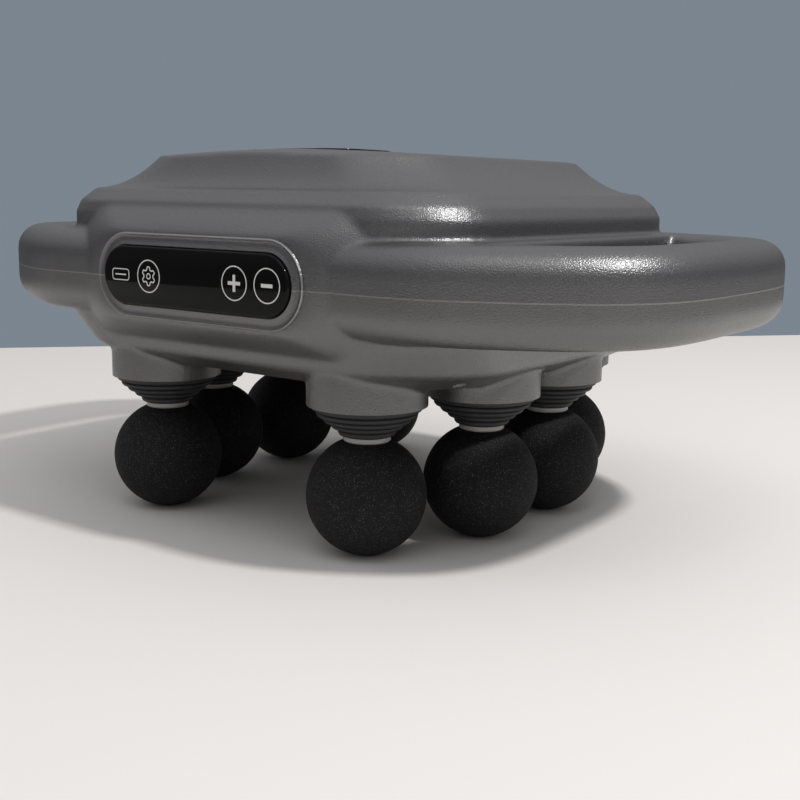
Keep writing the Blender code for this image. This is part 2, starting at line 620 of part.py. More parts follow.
def build_lower_housing(skin, hollow):
    low = COLLAR_BOTTOM_Z - OVERRUN
    shape = box(RIM_FACE_X + WALL, BELT_HALF_Y + WALL, low, PARTING_Z - GAP / 2)
    shell = make_object("lower_housing", shape, finish("lower_shell_plastic", (0.110, 0.108, 0.112), 0.40))
    boolean(shell, "INTERSECT", skin)
    boolean(shell, "DIFFERENCE", hollow)
    frame_post = cylinder(FRAME_POST_RADIUS, FLOOR_INSIDE_Z - FUSE, FRAME_BOTTOM_Z - GAP, SMALL_SEGMENTS)
    boolean(shell, "UNION", tool("frame_posts", at_places(frame_post, frame_post_places())))
    recess = cylinder(COLLAR_BORE_RADIUS, low, COLLAR_BORE_TOP_Z)
    boolean(shell, "DIFFERENCE", tool("collar_bores", at_places(recess, head_places())))
    guide = at_arms(cylinder(GUIDE_TUBE_RADIUS + GAP, low, FLOOR_INSIDE_Z + OVERRUN, TUBE_SEGMENTS))
    bores = [moved(guide, x, y, turn=turn) for x, y, turn in pair_places()]
    for x, y in post_places():
        bore = cylinder(COUNTERBORE_RADIUS, low, SCREW_SEAT_Z, SMALL_SEGMENTS)
        bores.append(moved(bore, x, y))
    boolean(shell, "DIFFERENCE", tool("bores", join_shapes(*bores)))
    holes = []
    screw_hole = cylinder(SCREW_RADIUS + GAP, SCREW_SEAT_Z - OVERRUN, PARTING_Z + OVERRUN, SMALL_SEGMENTS)
    holes.append(at_places(screw_hole, post_places()))
    deep = FRAME_BOTTOM_Z - FRAME_PILOT_DEPTH
    frame_hole = cylinder(SCREW_RADIUS + GAP, deep, FRAME_BOTTOM_Z + OVERRUN, SMALL_SEGMENTS)
    holes.append(at_places(frame_hole, frame_post_places()))
    for side in (-1, 1):
        clamp_hole = cylinder(SMALL_SCREW_RADIUS + GAP, low, FLOOR_INSIDE_Z + OVERRUN, SMALL_SEGMENTS)
        holes.append(moved(clamp_hole, 0, side * CLAMP_FOOT_Y))
    boolean(shell, "DIFFERENCE", tool("lower_holes", join_shapes(*holes)))
    for name, cut in zip(("margin", "lens_seat", "window"), display_cuts()):
        boolean(shell, "DIFFERENCE", tool("lower_" + name, cut))
    jack_hole = cylinder(JACK_RADIUS + GAP, FAIRING_ROOT_X - OVERRUN, RIM_FACE_X + OVERRUN, TUBE_SEGMENTS)
    boolean(shell, "DIFFERENCE", tool("jack_hole", moved(along_x(jack_hole), z=JACK_Z)))


def along_x(shape):
    """A shape about Z laid along +X."""
    points, faces = shape
    return [(z, y, -x) for x, y, z in points], faces


def build_top_plate():
    outline = rounded_outline(TOP_PLATE_HALF_X, TOP_PLATE_HALF_Y, TOP_PLATE_CORNER)
    shape = moved(prism(outline, TOP_PLATE_TOP_Z - TOP_PLATE_THICKNESS, TOP_PLATE_TOP_Z), x=TOP_PLATE_X)
    make_object("top_plate", shape, finish("top_plate_gloss", (0.012, 0.012, 0.014), 0.08))


def build_display_lens():
    shape = stadium(LENS_HALF_LENGTH, LENS_HALF_HEIGHT, -LENS_FACE_X, -LENS_FACE_X + LENS_THICKNESS)
    make_object("display_lens", shape, finish("lens_gloss", (0.010, 0.010, 0.011), 0.05))


def build_display_board():
    near = -(FAIRING_FACE_X - WALL - GAP)
    far = near + DISPLAY_BOARD_THICKNESS
    shape = stadium(DISPLAY_BOARD_HALF_LENGTH, DISPLAY_BOARD_HALF_HEIGHT, near, far)
    make_object("display_board", shape, finish("display_board_laminate", (0.02, 0.12, 0.06), 0.5))


def build_charge_jack():
    root = FAIRING_FACE_X - WALL - GAP
    profile = [
        (0, JACK_FACE_X - JACK_BODY_LENGTH),
        (JACK_RADIUS, JACK_FACE_X - JACK_BODY_LENGTH),
        (JACK_RADIUS, root - JACK_FLANGE),
        (JACK_FLANGE_RADIUS, root - JACK_FLANGE),
        (JACK_FLANGE_RADIUS, root),
        (JACK_RADIUS, root),
        (JACK_RADIUS, JACK_FACE_X),
        (JACK_BORE_RADIUS, JACK_FACE_X),
        (JACK_BORE_RADIUS, JACK_FACE_X - JACK_BORE_DEPTH),
        (JACK_PIN_RADIUS, JACK_FACE_X - JACK_BORE_DEPTH),
        (JACK_PIN_RADIUS, JACK_FACE_X - JACK_FLANGE),
        (0, JACK_FACE_X - JACK_FLANGE),
    ]
    shape = moved(along_x(revolve(profile, TUBE_SEGMENTS)), z=JACK_Z)
    make_object("charge_jack", shape, finish("jack_plastic", (0.02, 0.02, 0.02), 0.45))


def build_motor_frame():
    frame = make_object(
        "motor_frame",
        prism(rounded_outline(FRAME_HALF_X, FRAME_HALF_Y, FRAME_CORNER), FRAME_BOTTOM_Z, FRAME_TOP_Z),
        finish("frame_aluminium", (0.55, 0.56, 0.58), 0.35, 1.0),
    )
    standoff = cylinder(STANDOFF_RADIUS, FRAME_TOP_Z - FUSE, FRAME_TOP_Z + STANDOFF_HEIGHT, SMALL_SEGMENTS)
    boolean(frame, "UNION", tool("standoffs", at_places(standoff, standoff_places())))
    low, high = FRAME_BOTTOM_Z - OVERRUN, FRAME_TOP_Z + STANDOFF_HEIGHT + OVERRUN
    window = rounded_outline(FRAME_WINDOW_HALF_X, FRAME_WINDOW_HALF_Y, FRAME_WINDOW_CORNER)
    cuts = [prism(window, low, high)]
    cuts.append(at_places(cylinder(SCREW_RADIUS + GAP, low, high, SMALL_SEGMENTS), frame_post_places()))
    cuts.append(at_places(cylinder(SMALL_SCREW_RADIUS + GAP, low, high, SMALL_SEGMENTS), standoff_places()))
    boss_hole = cylinder(MOTOR_BOSS_RADIUS + GAP, low, high, TUBE_SEGMENTS)
    cuts += [moved(boss_hole, x, y, turn=turn) for x, y, turn in pair_places()]
    boolean(frame, "DIFFERENCE", tool("frame_holes", join_shapes(*cuts)))


def build_motor(number, x, y, turn, material):
    """Can with its end boss, which the shaft enters from below."""
    boss_bottom = FRAME_BOTTOM_Z + GAP
    bore = SHAFT_RADIUS + GAP
    profile = [
        (bore, boss_bottom),
        (MOTOR_BOSS_RADIUS, boss_bottom),
        (MOTOR_BOSS_RADIUS, MOTOR_BOTTOM_Z),
        (MOTOR_RADIUS, MOTOR_BOTTOM_Z),
        (MOTOR_RADIUS, MOTOR_TOP_Z - MOTOR_EDGE),
        (MOTOR_RADIUS - MOTOR_EDGE, MOTOR_TOP_Z),
        (0, MOTOR_TOP_Z),
        (0, SHAFT_TOP_Z + GAP),
        (bore, SHAFT_TOP_Z + GAP),
    ]
    motor = make_object(f"motor_{number}", revolve(profile, TUBE_SEGMENTS), material, smooth=True)
    tab = box(TERMINAL_THICKNESS / 2, TERMINAL_HALF_WIDTH, MOTOR_TOP_Z - FUSE, MOTOR_TOP_Z + TERMINAL_HEIGHT)
    tabs = join_shapes(moved(tab, TERMINAL_OFFSET), moved(tab, -TERMINAL_OFFSET))
    apply_steps(motor, (("UNION", tabs),))
    motor.location = (x, y, 0)
    motor.rotation_euler = (0, 0, turn)


def build_rotor(number, x, y, turn, material):
    """Motor shaft with its eccentric, which at rest lies across the rocker."""
    low = BEARING_MIDDLE_Z - BEARING_WIDTH / 2
    flange_bottom = low - GAP - ECCENTRIC_FLANGE
    hub = [
        (0, flange_bottom),
        (ECCENTRIC_FLANGE_RADIUS, flange_bottom),
        (ECCENTRIC_FLANGE_RADIUS, low - GAP),
        (ECCENTRIC_RADIUS, low - GAP),
        (ECCENTRIC_RADIUS, low + BEARING_WIDTH + FUSE),
        (0, low + BEARING_WIDTH + FUSE),
    ]
    eccentric = moved(revolve(hub, ROUND_SEGMENTS), y=ECCENTRICITY)
    rotor = make_object(f"rotor_{number}", eccentric, material, smooth=True)
    apply_steps(rotor, (("UNION", cylinder(SHAFT_RADIUS, low, SHAFT_TOP_Z, SMALL_SEGMENTS)),))
    rotor.location = (x, y, 0)
    rotor.rotation_euler = (0, 0, turn)
    return rotor


def build_bearing(number, rotor, material):
    low, high = BEARING_MIDDLE_Z - BEARING_WIDTH / 2, BEARING_MIDDLE_Z + BEARING_WIDTH / 2
    inner = ECCENTRIC_RADIUS + GAP
    profile = [(inner, low), (BEARING_RADIUS, low), (BEARING_RADIUS, high), (inner, high)]
    shape = moved(revolve(profile, ROUND_SEGMENTS), y=ECCENTRICITY)
    make_object(f"bearing_{number}", shape, material, smooth=True).parent = rotor


def build_rocker(number, x, y, turn, material):
    """Beam with a hub on the pin, a fork at each end for a stem and two tines round the bearing."""
    half = ROCKER_THICKNESS / 2
    reach = PAIR_ARM + ROCKER_TIP
    rocker = make_object(f"rocker_{number}", box(reach, ROCKER_HALF_WIDTH, -half, half), material)
    hub = across(cylinder(ROCKER_HUB_RADIUS, -ROCKER_HUB_HALF_LENGTH, ROCKER_HUB_HALF_LENGTH, ROUND_SEGMENTS))
    tine = box(ROCKER_TINE / 2, ROCKER_TINE_HALF_WIDTH, half - FUSE, ROCKER_TINE_TOP)
    offset = ROCKER_TINE_INNER + ROCKER_TINE / 2
    tines = join_shapes(moved(tine, offset), moved(tine, -offset))
    slot_half = STEM_NECK_RADIUS + GAP
    slot_start = PAIR_ARM - STEM_NECK_RADIUS - ROCKER_SLOT_MARGIN
    middle = (slot_start + reach + OVERRUN) / 2
    slot = box((reach + OVERRUN - slot_start) / 2, slot_half, -OVERRUN, OVERRUN)
    through = ROCKER_HALF_WIDTH + OVERRUN
    bore = across(cylinder(PIN_RADIUS + GAP, -through, through, SMALL_SEGMENTS))
    near = ROCKER_HUB_HALF_LENGTH
    side = box(LUG_HALF_WIDTH + ROCKER_SLOT_MARGIN, OVERRUN, -OVERRUN, OVERRUN)
    notches = join_shapes(moved(side, y=near + OVERRUN), moved(side, y=-near - OVERRUN))
    slots = join_shapes(moved(slot, middle), moved(slot, -middle))
    added = (("UNION", hub), ("UNION", tines))
    cut = (("DIFFERENCE", slots), ("DIFFERENCE", bore))
    apply_steps(rocker, (("DIFFERENCE", notches), *added, *cut))
    rocker.location = (x, y, PIVOT_Z)
    rocker.rotation_euler = (0, 0, turn)


def build_rocker_pin(number, x, y, turn, material):
    """Pin through the lugs, headed at one end."""
    reach = ROCKER_HUB_HALF_LENGTH + GAP + LUG_THICKNESS
    profile = [
        (0, -reach - GAP - PIN_HEAD),
        (PIN_HEAD_RADIUS, -reach - GAP - PIN_HEAD),
        (PIN_HEAD_RADIUS, -reach - GAP),
        (PIN_RADIUS, -reach - GAP),
        (PIN_RADIUS, reach + FUSE),
        (0, reach + FUSE),
    ]
    pin = make_object(f"rocker_pin_{number}", across(revolve(profile, SMALL_SEGMENTS)), material)
    pin.location = (x, y, PIVOT_Z)
    pin.rotation_euler = (0, 0, turn)


def build_guide_block(number, x, y, turn, material):
    """Base on the housing floor, with a guide tube for each stem and two lugs for the rocker's pin."""
    base_bottom = FLOOR_INSIDE_Z + GAP
    base_top = base_bottom + GUIDE_BASE_THICKNESS
    base = box(PAIR_ARM + GUIDE_BASE_HALF_WIDTH, GUIDE_BASE_HALF_WIDTH, base_bottom, base_top)
    block = make_object(f"guide_block_{number}", base, material)
    tubes = at_arms(cylinder(GUIDE_TUBE_RADIUS, FLOOR_Z, GUIDE_TOP_Z, TUBE_SEGMENTS))
    near = ROCKER_HUB_HALF_LENGTH + GAP
    middle = near + LUG_THICKNESS / 2
    lug = box(LUG_HALF_WIDTH, LUG_THICKNESS / 2, base_top - FUSE, PIVOT_Z + LUG_HALF_WIDTH)
    lugs = join_shapes(moved(lug, y=middle), moved(lug, y=-middle))
    bores = at_arms(cylinder(STEM_RADIUS + GAP, FLOOR_Z - OVERRUN, GUIDE_TOP_Z + OVERRUN, TUBE_SEGMENTS))
    reach = near + LUG_THICKNESS + OVERRUN
    pin_hole = moved(across(cylinder(PIN_RADIUS + GAP, -reach, reach, SMALL_SEGMENTS)), z=PIVOT_Z)
    steps = (("UNION", tubes), ("UNION", lugs), ("DIFFERENCE", bores), ("DIFFERENCE", pin_hole))
    apply_steps(block, steps)
    block.location = (x, y, 0)
    block.rotation_euler = (0, 0, turn)


def stem_profile():
    """Threaded foot in the ball, ring on the ball, seat of the bellows, rod, and spool for the rocker."""
    low = PIVOT_Z - SPOOL_HALF_HEIGHT
    high = PIVOT_Z + SPOOL_HALF_HEIGHT
    return [
        (0, RING_BOTTOM_Z - STEM_IN_BALL),
        (STEM_RADIUS, RING_BOTTOM_Z - STEM_IN_BALL),
        (STEM_RADIUS, RING_BOTTOM_Z),
        (RING_RADIUS, RING_BOTTOM_Z),
        (RING_RADIUS, RING_TOP_Z),
        (BOOT_SEAT_RADIUS, RING_TOP_Z),
        (BOOT_SEAT_RADIUS, BOOT_SEAT_TOP_Z),
        (STEM_RADIUS, BOOT_SEAT_TOP_Z),
        (STEM_RADIUS, low - SPOOL_FLANGE - FUSE),
        (SPOOL_RADIUS, low - SPOOL_FLANGE),
        (SPOOL_RADIUS, low),
        (STEM_NECK_RADIUS, low),
        (STEM_NECK_RADIUS, high),
        (SPOOL_RADIUS, high),
        (SPOOL_RADIUS, high + SPOOL_FLANGE),
        (0, high + SPOOL_FLANGE),
    ]


def ball_profile():
    """Ball with a small flat to stand on, a seat for the ring and a socket for the stem's foot."""
    top = RING_BOTTOM_Z - GAP
    start = math.acos(BALL_CENTRE_Z / BALL_RADIUS)
    end = math.pi - math.acos((top - BALL_CENTRE_Z) / BALL_RADIUS)
    profile = [(0, 0.0)]
    for step in range(BALL_STEPS + 1):
        angle = start + (end - start) * step / BALL_STEPS
        profile.append((BALL_RADIUS * math.sin(angle), BALL_CENTRE_Z - BALL_RADIUS * math.cos(angle)))
    socket = STEM_RADIUS + GAP
    depth = RING_BOTTOM_Z - STEM_IN_BALL - GAP
    return profile + [(socket, top), (socket, depth), (0, depth)]


def bellows_profile():
    """Stepped boot from the neck on the stem out to a flange under the housing floor."""
    bottom = RING_TOP_Z + GAP
    step_height = (COLLAR_BOTTOM_Z - bottom) / BELLOWS_STEPS
    step_out = (BELLOWS_TOP_RADIUS - BELLOWS_NECK_RADIUS) / (BELLOWS_STEPS - 1)
    profile = []
    for step in range(BELLOWS_STEPS):
        radius = BELLOWS_NECK_RADIUS + step * step_out
        profile.append((radius - BELLOWS_RIB_TAPER, bottom + step * step_height))
        profile.append((radius, bottom + (step + 1) * step_height - BELLOWS_RIB_TAPER))
    top = COLLAR_BORE_TOP_Z - GAP
    inner = BELLOWS_TOP_RADIUS - BELLOWS_WALL
    profile += [
        (BELLOWS_TOP_RADIUS, top),
        (BELLOWS_FLANGE_INNER_RADIUS, top),
        (BELLOWS_FLANGE_INNER_RADIUS, top - BELLOWS_FLANGE),
        (inner, top - BELLOWS_FLANGE),
        (inner, bottom + (BELLOWS_STEPS - 1) * step_height + BELLOWS_WALL),
        (BOOT_SEAT_RADIUS + 2 * GAP, BOOT_SEAT_TOP_Z - BELLOWS_RIB_TAPER),
        (BOOT_SEAT_RADIUS + 2 * GAP, bottom),
    ]
    return profile


def build_heads():
    ball_foam = finish("ball_foam", (0.018, 0.018, 0.019), 0.85)
    stem_plastic = finish("stem_plastic", (0.55, 0.55, 0.53), 0.45)
    boot_rubber = finish("boot_rubber", (0.022, 0.022, 0.024), 0.6)
    for number, (x, y) in enumerate(head_places(), 1):
        for name, profile, segments, material in (
            ("stem", stem_profile(), SMALL_SEGMENTS, stem_plastic),
            ("ball", ball_profile(), ROUND_SEGMENTS, ball_foam),
            ("bellows", bellows_profile(), BELLOWS_SEGMENTS, boot_rubber),
        ):
            piece = make_object(f"{name}_{number}", revolve(profile, segments), material, smooth=True)
            piece.location = (x, y, 0)


def build_drives():
    can = finish("motor_can_steel", (0.45, 0.46, 0.48), 0.3, 1.0)
    steel = finish("shaft_steel", (0.50, 0.50, 0.52), 0.3, 1.0)
    race = finish("bearing_steel", (0.62, 0.62, 0.64), 0.2, 1.0)
    nylon = finish("rocker_nylon", (0.70, 0.68, 0.60), 0.5)
    moulding = finish("guide_moulding", (0.06, 0.06, 0.065), 0.5)
    for number, (x, y, turn) in enumerate(pair_places(), 1):
        build_motor(number, x, y, turn, can)
        rotor = build_rotor(number, x, y, turn, steel)
        build_bearing(number, rotor, race)
        build_rocker(number, x, y, turn, nylon)
        build_rocker_pin(number, x, y, turn, steel)
        build_guide_block(number, x, y, turn, moulding)


def build_control_board():
    board = make_object(
        "control_board",
        box(BOARD_HALF_X, BOARD_HALF_Y, BOARD_BOTTOM_Z, BOARD_BOTTOM_Z + BOARD_THICKNESS),
        finish("control_board_laminate", (0.02, 0.16, 0.08), 0.5),
    )
    foot = BOARD_BOTTOM_Z + BOARD_THICKNESS / 2
    top = BOARD_BOTTOM_Z + BOARD_THICKNESS
    capacitor = cylinder(CAPACITOR_RADIUS, foot, top + CAPACITOR_HEIGHT, SMALL_SEGMENTS)
    parts = [moved(capacitor, side * BOARD_HALF_X / 2, BOARD_HALF_Y / 2) for side in (-1, 1)]
    for side in (-1, 1):
        for row in (-1, 1):
            connector = box(CONNECTOR_HALF_X, CONNECTOR_HALF_Y, foot, top + CONNECTOR_HEIGHT)
            edge = BOARD_HALF_X - CONNECTOR_HALF_X - BOARD_THICKNESS
            parts.append(moved(connector, side * edge, row * BOARD_HALF_Y / 3 - BOARD_HALF_Y / 6))
    parts.append(box(CHIP_HALF, CHIP_HALF, foot, top + CHIP_HEIGHT))
    boolean(board, "UNION", tool("board_parts", join_shapes(*parts)))
    hole = cylinder(SMALL_SCREW_RADIUS + GAP, BOARD_BOTTOM_Z - OVERRUN, top + OVERRUN, SMALL_SEGMENTS)
    boolean(board, "DIFFERENCE", tool("board_holes", at_places(hole, standoff_places())))


def pack_outline():
    """The wrap round a row of cells, seen from their ends."""
    middle_z = (PACK_BOTTOM_Z + PACK_TOP_Z) / 2
    upper = []
    for cell in range(CELLS):
        centre = (2 * cell + 1 - CELLS) * CELL_RADIUS
        for step in range(CELL_ARC_POINTS):
            angle = math.pi * (step + 0.5) / CELL_ARC_POINTS
            upper.append((centre - CELL_RADIUS * math.cos(angle), CELL_RADIUS * math.sin(angle)))
    lower = [(y, -z) for y, z in reversed(upper)]
    return [(y, middle_z + z) for y, z in upper + lower]


def build_battery_pack():
    half = CELL_LENGTH / 2
    shape = loft([[(x, y, z) for y, z in pack_outline()] for x in (-half, half)])
    make_object("battery_pack", shape, finish("battery_wrap", (0.03, 0.12, 0.35), 0.4))


def build_battery_clamp():
    """Strap over the pack with a screwed foot on each side."""
    inside = PACK_HALF_Y + GAP
    outside = inside + CLAMP_THICKNESS
    end = outside + CLAMP_FOOT
    floor = PACK_BOTTOM_Z
    low, high = PACK_TOP_Z + GAP, PACK_TOP_Z + GAP + CLAMP_THICKNESS
    foot_top = floor + CLAMP_THICKNESS
    foot = [(inside, floor), (end, floor), (end, foot_top), (outside, foot_top)]
    half = [(inside, low), *foot, (outside, high)]
    outline = half + [(-y, z) for y, z in reversed(half)]
    shape = loft([[(x, y, z) for y, z in outline] for x in (-CLAMP_HALF_WIDTH, CLAMP_HALF_WIDTH)])
    clamp = make_object("battery_clamp", shape, finish("clamp_steel", (0.50, 0.50, 0.52), 0.35, 1.0))
    hole = cylinder(SMALL_SCREW_RADIUS + GAP, floor - OVERRUN, floor + OVERRUN, SMALL_SEGMENTS)
    places = [(0, side * CLAMP_FOOT_Y) for side in (-1, 1)]
    boolean(clamp, "DIFFERENCE", tool("clamp_holes", at_places(hole, places)))


def main():
    clear_scene()
    skin, hollow = build_skin_and_hollow()
    build_upper_housing(skin, hollow)
    build_lower_housing(skin, hollow)
    build_top_plate()
    build_display_lens()
    build_display_board()
    build_charge_jack()
    build_heads()
    build_motor_frame()
    build_drives()
    build_control_board()
    build_battery_pack()
    build_battery_clamp()


main()
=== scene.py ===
import math

import bmesh
import bpy
from mathutils import Matrix, Vector


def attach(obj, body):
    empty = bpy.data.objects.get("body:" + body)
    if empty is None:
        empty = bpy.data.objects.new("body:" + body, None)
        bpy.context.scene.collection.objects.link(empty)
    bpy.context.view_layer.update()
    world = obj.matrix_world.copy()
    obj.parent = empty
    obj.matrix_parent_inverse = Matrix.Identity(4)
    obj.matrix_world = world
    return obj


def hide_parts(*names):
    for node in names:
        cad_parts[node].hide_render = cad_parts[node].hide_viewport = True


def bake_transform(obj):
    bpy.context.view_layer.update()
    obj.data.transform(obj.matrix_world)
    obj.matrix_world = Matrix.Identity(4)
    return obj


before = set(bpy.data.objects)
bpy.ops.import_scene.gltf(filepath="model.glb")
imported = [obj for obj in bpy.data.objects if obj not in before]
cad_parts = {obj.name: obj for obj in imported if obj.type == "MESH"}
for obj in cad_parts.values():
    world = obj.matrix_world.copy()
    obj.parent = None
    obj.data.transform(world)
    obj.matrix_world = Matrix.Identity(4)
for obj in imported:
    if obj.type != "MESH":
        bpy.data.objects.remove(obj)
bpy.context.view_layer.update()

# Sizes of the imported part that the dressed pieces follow, in metres; a width along X or Y and the lens's
# length and height are half of the whole
GAP = 0.0003
WALL = 0.0026
PARTING_Z = 0.1107
SEAM = 0.00005
FLOOR_Z = 0.0705
COLLAR_BOTTOM_Z = 0.0625
COLLAR_RADIUS = 0.025
RECESS_RADIUS = 0.0235
BELT_X, BELT_Y, BELT_POWER = 0.1120, 0.1861, 3.6
BELT_BOTTOM_Z, BELT_TOP_Z, BELT_EDGE = 0.0925, 0.1299, 0.0118
BELT_SWELL, SWELL_Y, SWELL_REACH, SWELL_INWARD = 0.0082, 0.1040, 0.0350, 0.0550
HANDLE_WIDTH = 0.0285
LOOP_INNER_Y = 0.1162
LOOP_EDGE = 0.0080
DISPLAY_Z = 0.1118
FACE_X = 0.1182
LENS_X = 0.1212
LENS_LENGTH, LENS_HEIGHT = 0.0534, 0.0124
PLATE_MIDDLE_X, PLATE_X, PLATE_Y, PLATE_CORNER, PLATE_TOP_Z = -0.0325, 0.0230, 0.0240, 0.0150, 0.1666
PLATEAU_X, PLATEAU_Y, PLATEAU_CORNER = 0.0866, 0.0746, 0.0320
SHOULDER_X, SHOULDER_Y, SHOULDER_CORNER, SHOULDER_Z = 0.0996, 0.1022, 0.0290, 0.1483
FAIRING_ROOT_X = 0.1050
JACK_RADIUS, JACK_Z = 0.0058, 0.1030
HEADS = [(-0.0805, -0.0599), (-0.0286, -0.0823), (-0.0805, 0.0599), (-0.0286, 0.0823),
         (0.0805, 0.0599), (0.0286, 0.0823), (0.0805, -0.0599), (0.0286, -0.0823)]
CORNERS = [(-1, -1), (-1, 1), (1, 1), (1, -1)]
SCREW_PLACES = [(x * 0.0700, y * 0.0985) for x, y in CORNERS] + [(0.0, 0.17185), (0.0, -0.17185)]
SCREW_SEAT_Z = 0.1010
POST_RADIUS, SCREW_BORE_RADIUS, GUIDE_HOLE_RADIUS = 0.0048, 0.0033, 0.0085

# What only the scene has: painted highlights along the parting edge and on the display's rim line, the
# keys' print, the table, the camera and mesh sizes
PARTING_HIGHLIGHT_HALF_WIDTH = 0.00024
RIM_OUT, RIM_HIGHLIGHT_HALF_WIDTH, RIM_DEPTH = 0.0052, 0.00034, 0.0022
PRINT_PROUD, PRINT_ROOT = 0.00006, 0.0001
KEYS_Z = 0.1119
PLUS_Y, MINUS_Y, GEAR_Y, BATTERY_Y = -0.0249, -0.0424, 0.0249, 0.0424
TABLE_EDGE, TABLE_TURN = 0.56, 0.871
CAMERA_PLACE = (-0.44226, -0.34509, 0.14831)
CAMERA_TURN, CAMERA_DOWN, CAMERA_ROLL = -53.391, 9.090, 0.821
PHOTO_PIXELS, PHOTO_SHIFT = 800, -25
FAR = 0.3
FINE = 0.00125
COARSE = 0.0035
BODY_STRAIGHTS = 12


class Value:
    """One output of a material's nodes; arithmetic on it adds Math nodes."""

    def __init__(self, paint, link):
        self.paint, self.link = paint, link

    def maths(self, operation, *terms):
        return self.paint.node("ShaderNodeMath", {"operation": operation}, dict(enumerate(terms)))

    def __add__(self, other):
        return self.maths("ADD", self, other)

    def __sub__(self, other):
        return self.maths("SUBTRACT", self, other)

    def __mul__(self, other):
        return self.maths("MULTIPLY", self, other)

    def __lt__(self, other):
        return self.maths("LESS_THAN", self, other)

    def __gt__(self, other):
        return self.maths("GREATER_THAN", self, other)

    def __abs__(self):
        return self.maths("ABSOLUTE", self)

    __radd__ = __add__


class Paint:
    """A material under construction: constants go straight on its shader, patterns through feed."""

    def __init__(self, name, colour, roughness, **constants):
        self.material = bpy.data.materials.new(name)
        self.material.use_nodes = True
        self.tree = self.material.node_tree
        self.shader = self.tree.nodes["Principled BSDF"]
        self.colour = (*colour, 1.0)
        self.shader.inputs["Base Color"].default_value = self.colour
        self.shader.inputs["Roughness"].default_value = roughness
        for socket, value in constants.items():
            self.shader.inputs[socket.replace("_", " ")].default_value = value

    def node(self, kind, settings=None, inputs=None, output=0):
        made = self.tree.nodes.new(kind)
        for name, value in (settings or {}).items():
            setattr(made, name, value)
        for socket, value in (inputs or {}).items():
            if isinstance(value, Value):
                self.tree.links.new(value.link, made.inputs[socket])
            else:
                made.inputs[socket].default_value = value
        return Value(self, made.outputs[output])

    def feed(self, socket, value):
        self.tree.links.new(value.link, self.shader.inputs[socket])

    def place(self):
        return self.node("ShaderNodeTexCoord", output="Object")

    def noise(self, size, detail=2.0, roughness=0.6):
        inputs = {"Vector": self.place(), "Scale": 1 / size, "Detail": detail, "Roughness": roughness}
        return self.node("ShaderNodeTexNoise", {}, inputs)

    def bump(self, height, strength, distance):
        inputs = {"Strength": strength, "Distance": distance, "Height": height}
        self.feed("Normal", self.node("ShaderNodeBump", {}, inputs))

    def mix(self, share, first, second):
        inputs = {0: share, 6: first, 7: second}
        return self.node("ShaderNodeMix", {"data_type": "RGBA"}, inputs, output=2)


def shell_plastic(name, colour):
    """Satin moulded plastic with a fine spark-eroded grain, with a pale band painted as a highlight along
    its parting edge and display rim.
    """
    paint = Paint(name, colour, 0.32, IOR=2.15)
    grain = paint.noise(0.00055, 1.0, 0.5)
    cloud = paint.noise(0.045, 2.0)
    x, y, z = (paint.node("ShaderNodeSeparateXYZ", {}, {0: paint.place()}, output=axis)
               for axis in range(3))
    # Painted highlight: a thin pale band either side of the parting plane, where the gap's edges catch the
    # light.
    parting = abs(z - PARTING_Z) < PARTING_HIGHLIGHT_HALF_WIDTH
    beyond, up = abs(y) - (LENS_LENGTH - LENS_HEIGHT), z - DISPLAY_Z
    across = beyond.maths("MAXIMUM", beyond, 0.0)
    square = across * across + up * up
    from_lens = square.maths("SQRT", square)
    # Painted highlight: a thin pale band on the raised rim line round the lens, where the ridge catches the
    # light.
    rim = (abs(from_lens - (LENS_HEIGHT + RIM_OUT)) < RIM_HIGHLIGHT_HALF_WIDTH) * (x < -FACE_X + RIM_DEPTH)
    # The painted highlight colour, mixed over the parting edge and the rim line.
    highlight_colour = tuple(min(1.0, part * 12.0) for part in colour)
    paler = tuple(part * 1.10 for part in colour)
    flesh = paint.mix((cloud - 0.35) * 1.5, (*colour, 1.0), (*paler, 1.0))
    paint.feed("Base Color", paint.mix(parting * 0.42 + rim * 0.32, flesh, (*highlight_colour, 1.0)))
    paint.feed("Roughness", 0.20 + grain * 0.24)
    paint.bump(grain, 0.65, 0.00030)
    return paint.material


def polished_black(name, roughness=0.05):
    return Paint(name, (0.005, 0.005, 0.005), roughness, Specular_IOR_Level=0.14).material


def ball_cover(name):
    """Matt black foam skin with pale specks in its grain."""
    paint = Paint(name, (0.011, 0.011, 0.012), 0.78, Specular_IOR_Level=0.28)
    grain = paint.noise(0.0011, 3.0, 0.7)
    specks = paint.noise(0.0005, 1.0, 0.5)
    paint.feed("Base Color", paint.mix((specks > 0.66) * 0.85, (0.006, 0.006, 0.0065, 1.0),
                                       (0.085, 0.085, 0.087, 1.0)))
    paint.bump(grain, 0.6, 0.0005)
    return paint.material


def boot_rubber(name):
    paint = Paint(name, (0.022, 0.022, 0.024), 0.55, Specular_IOR_Level=0.4)
    dust = paint.noise(0.004, 4.0, 0.7)
    paint.feed("Base Color", paint.mix(dust * 0.5, (0.020, 0.020, 0.022, 1.0),
                                       (0.045, 0.045, 0.047, 1.0)))
    paint.bump(paint.noise(0.0009), 0.15, 0.0002)
    return paint.material


def pale_plastic(name):
    paint = Paint(name, (0.44, 0.44, 0.42), 0.42)
    paint.feed("Base Color", paint.mix(paint.noise(0.006), (0.36, 0.36, 0.345, 1.0),
                                       (0.43, 0.43, 0.41, 1.0)))
    return paint.material


def metal(name, colour, roughness, streak=0.004):
    paint = Paint(name, colour, roughness, Metallic=1.0)
    paint.feed("Roughness", roughness - 0.06 + paint.noise(streak, 4.0, 0.7) * 0.14)
    return paint.material


def moulded(name, colour, roughness):
    paint = Paint(name, colour, roughness)
    paint.bump(paint.noise(0.0012), 0.12, 0.0002)
    return paint.material


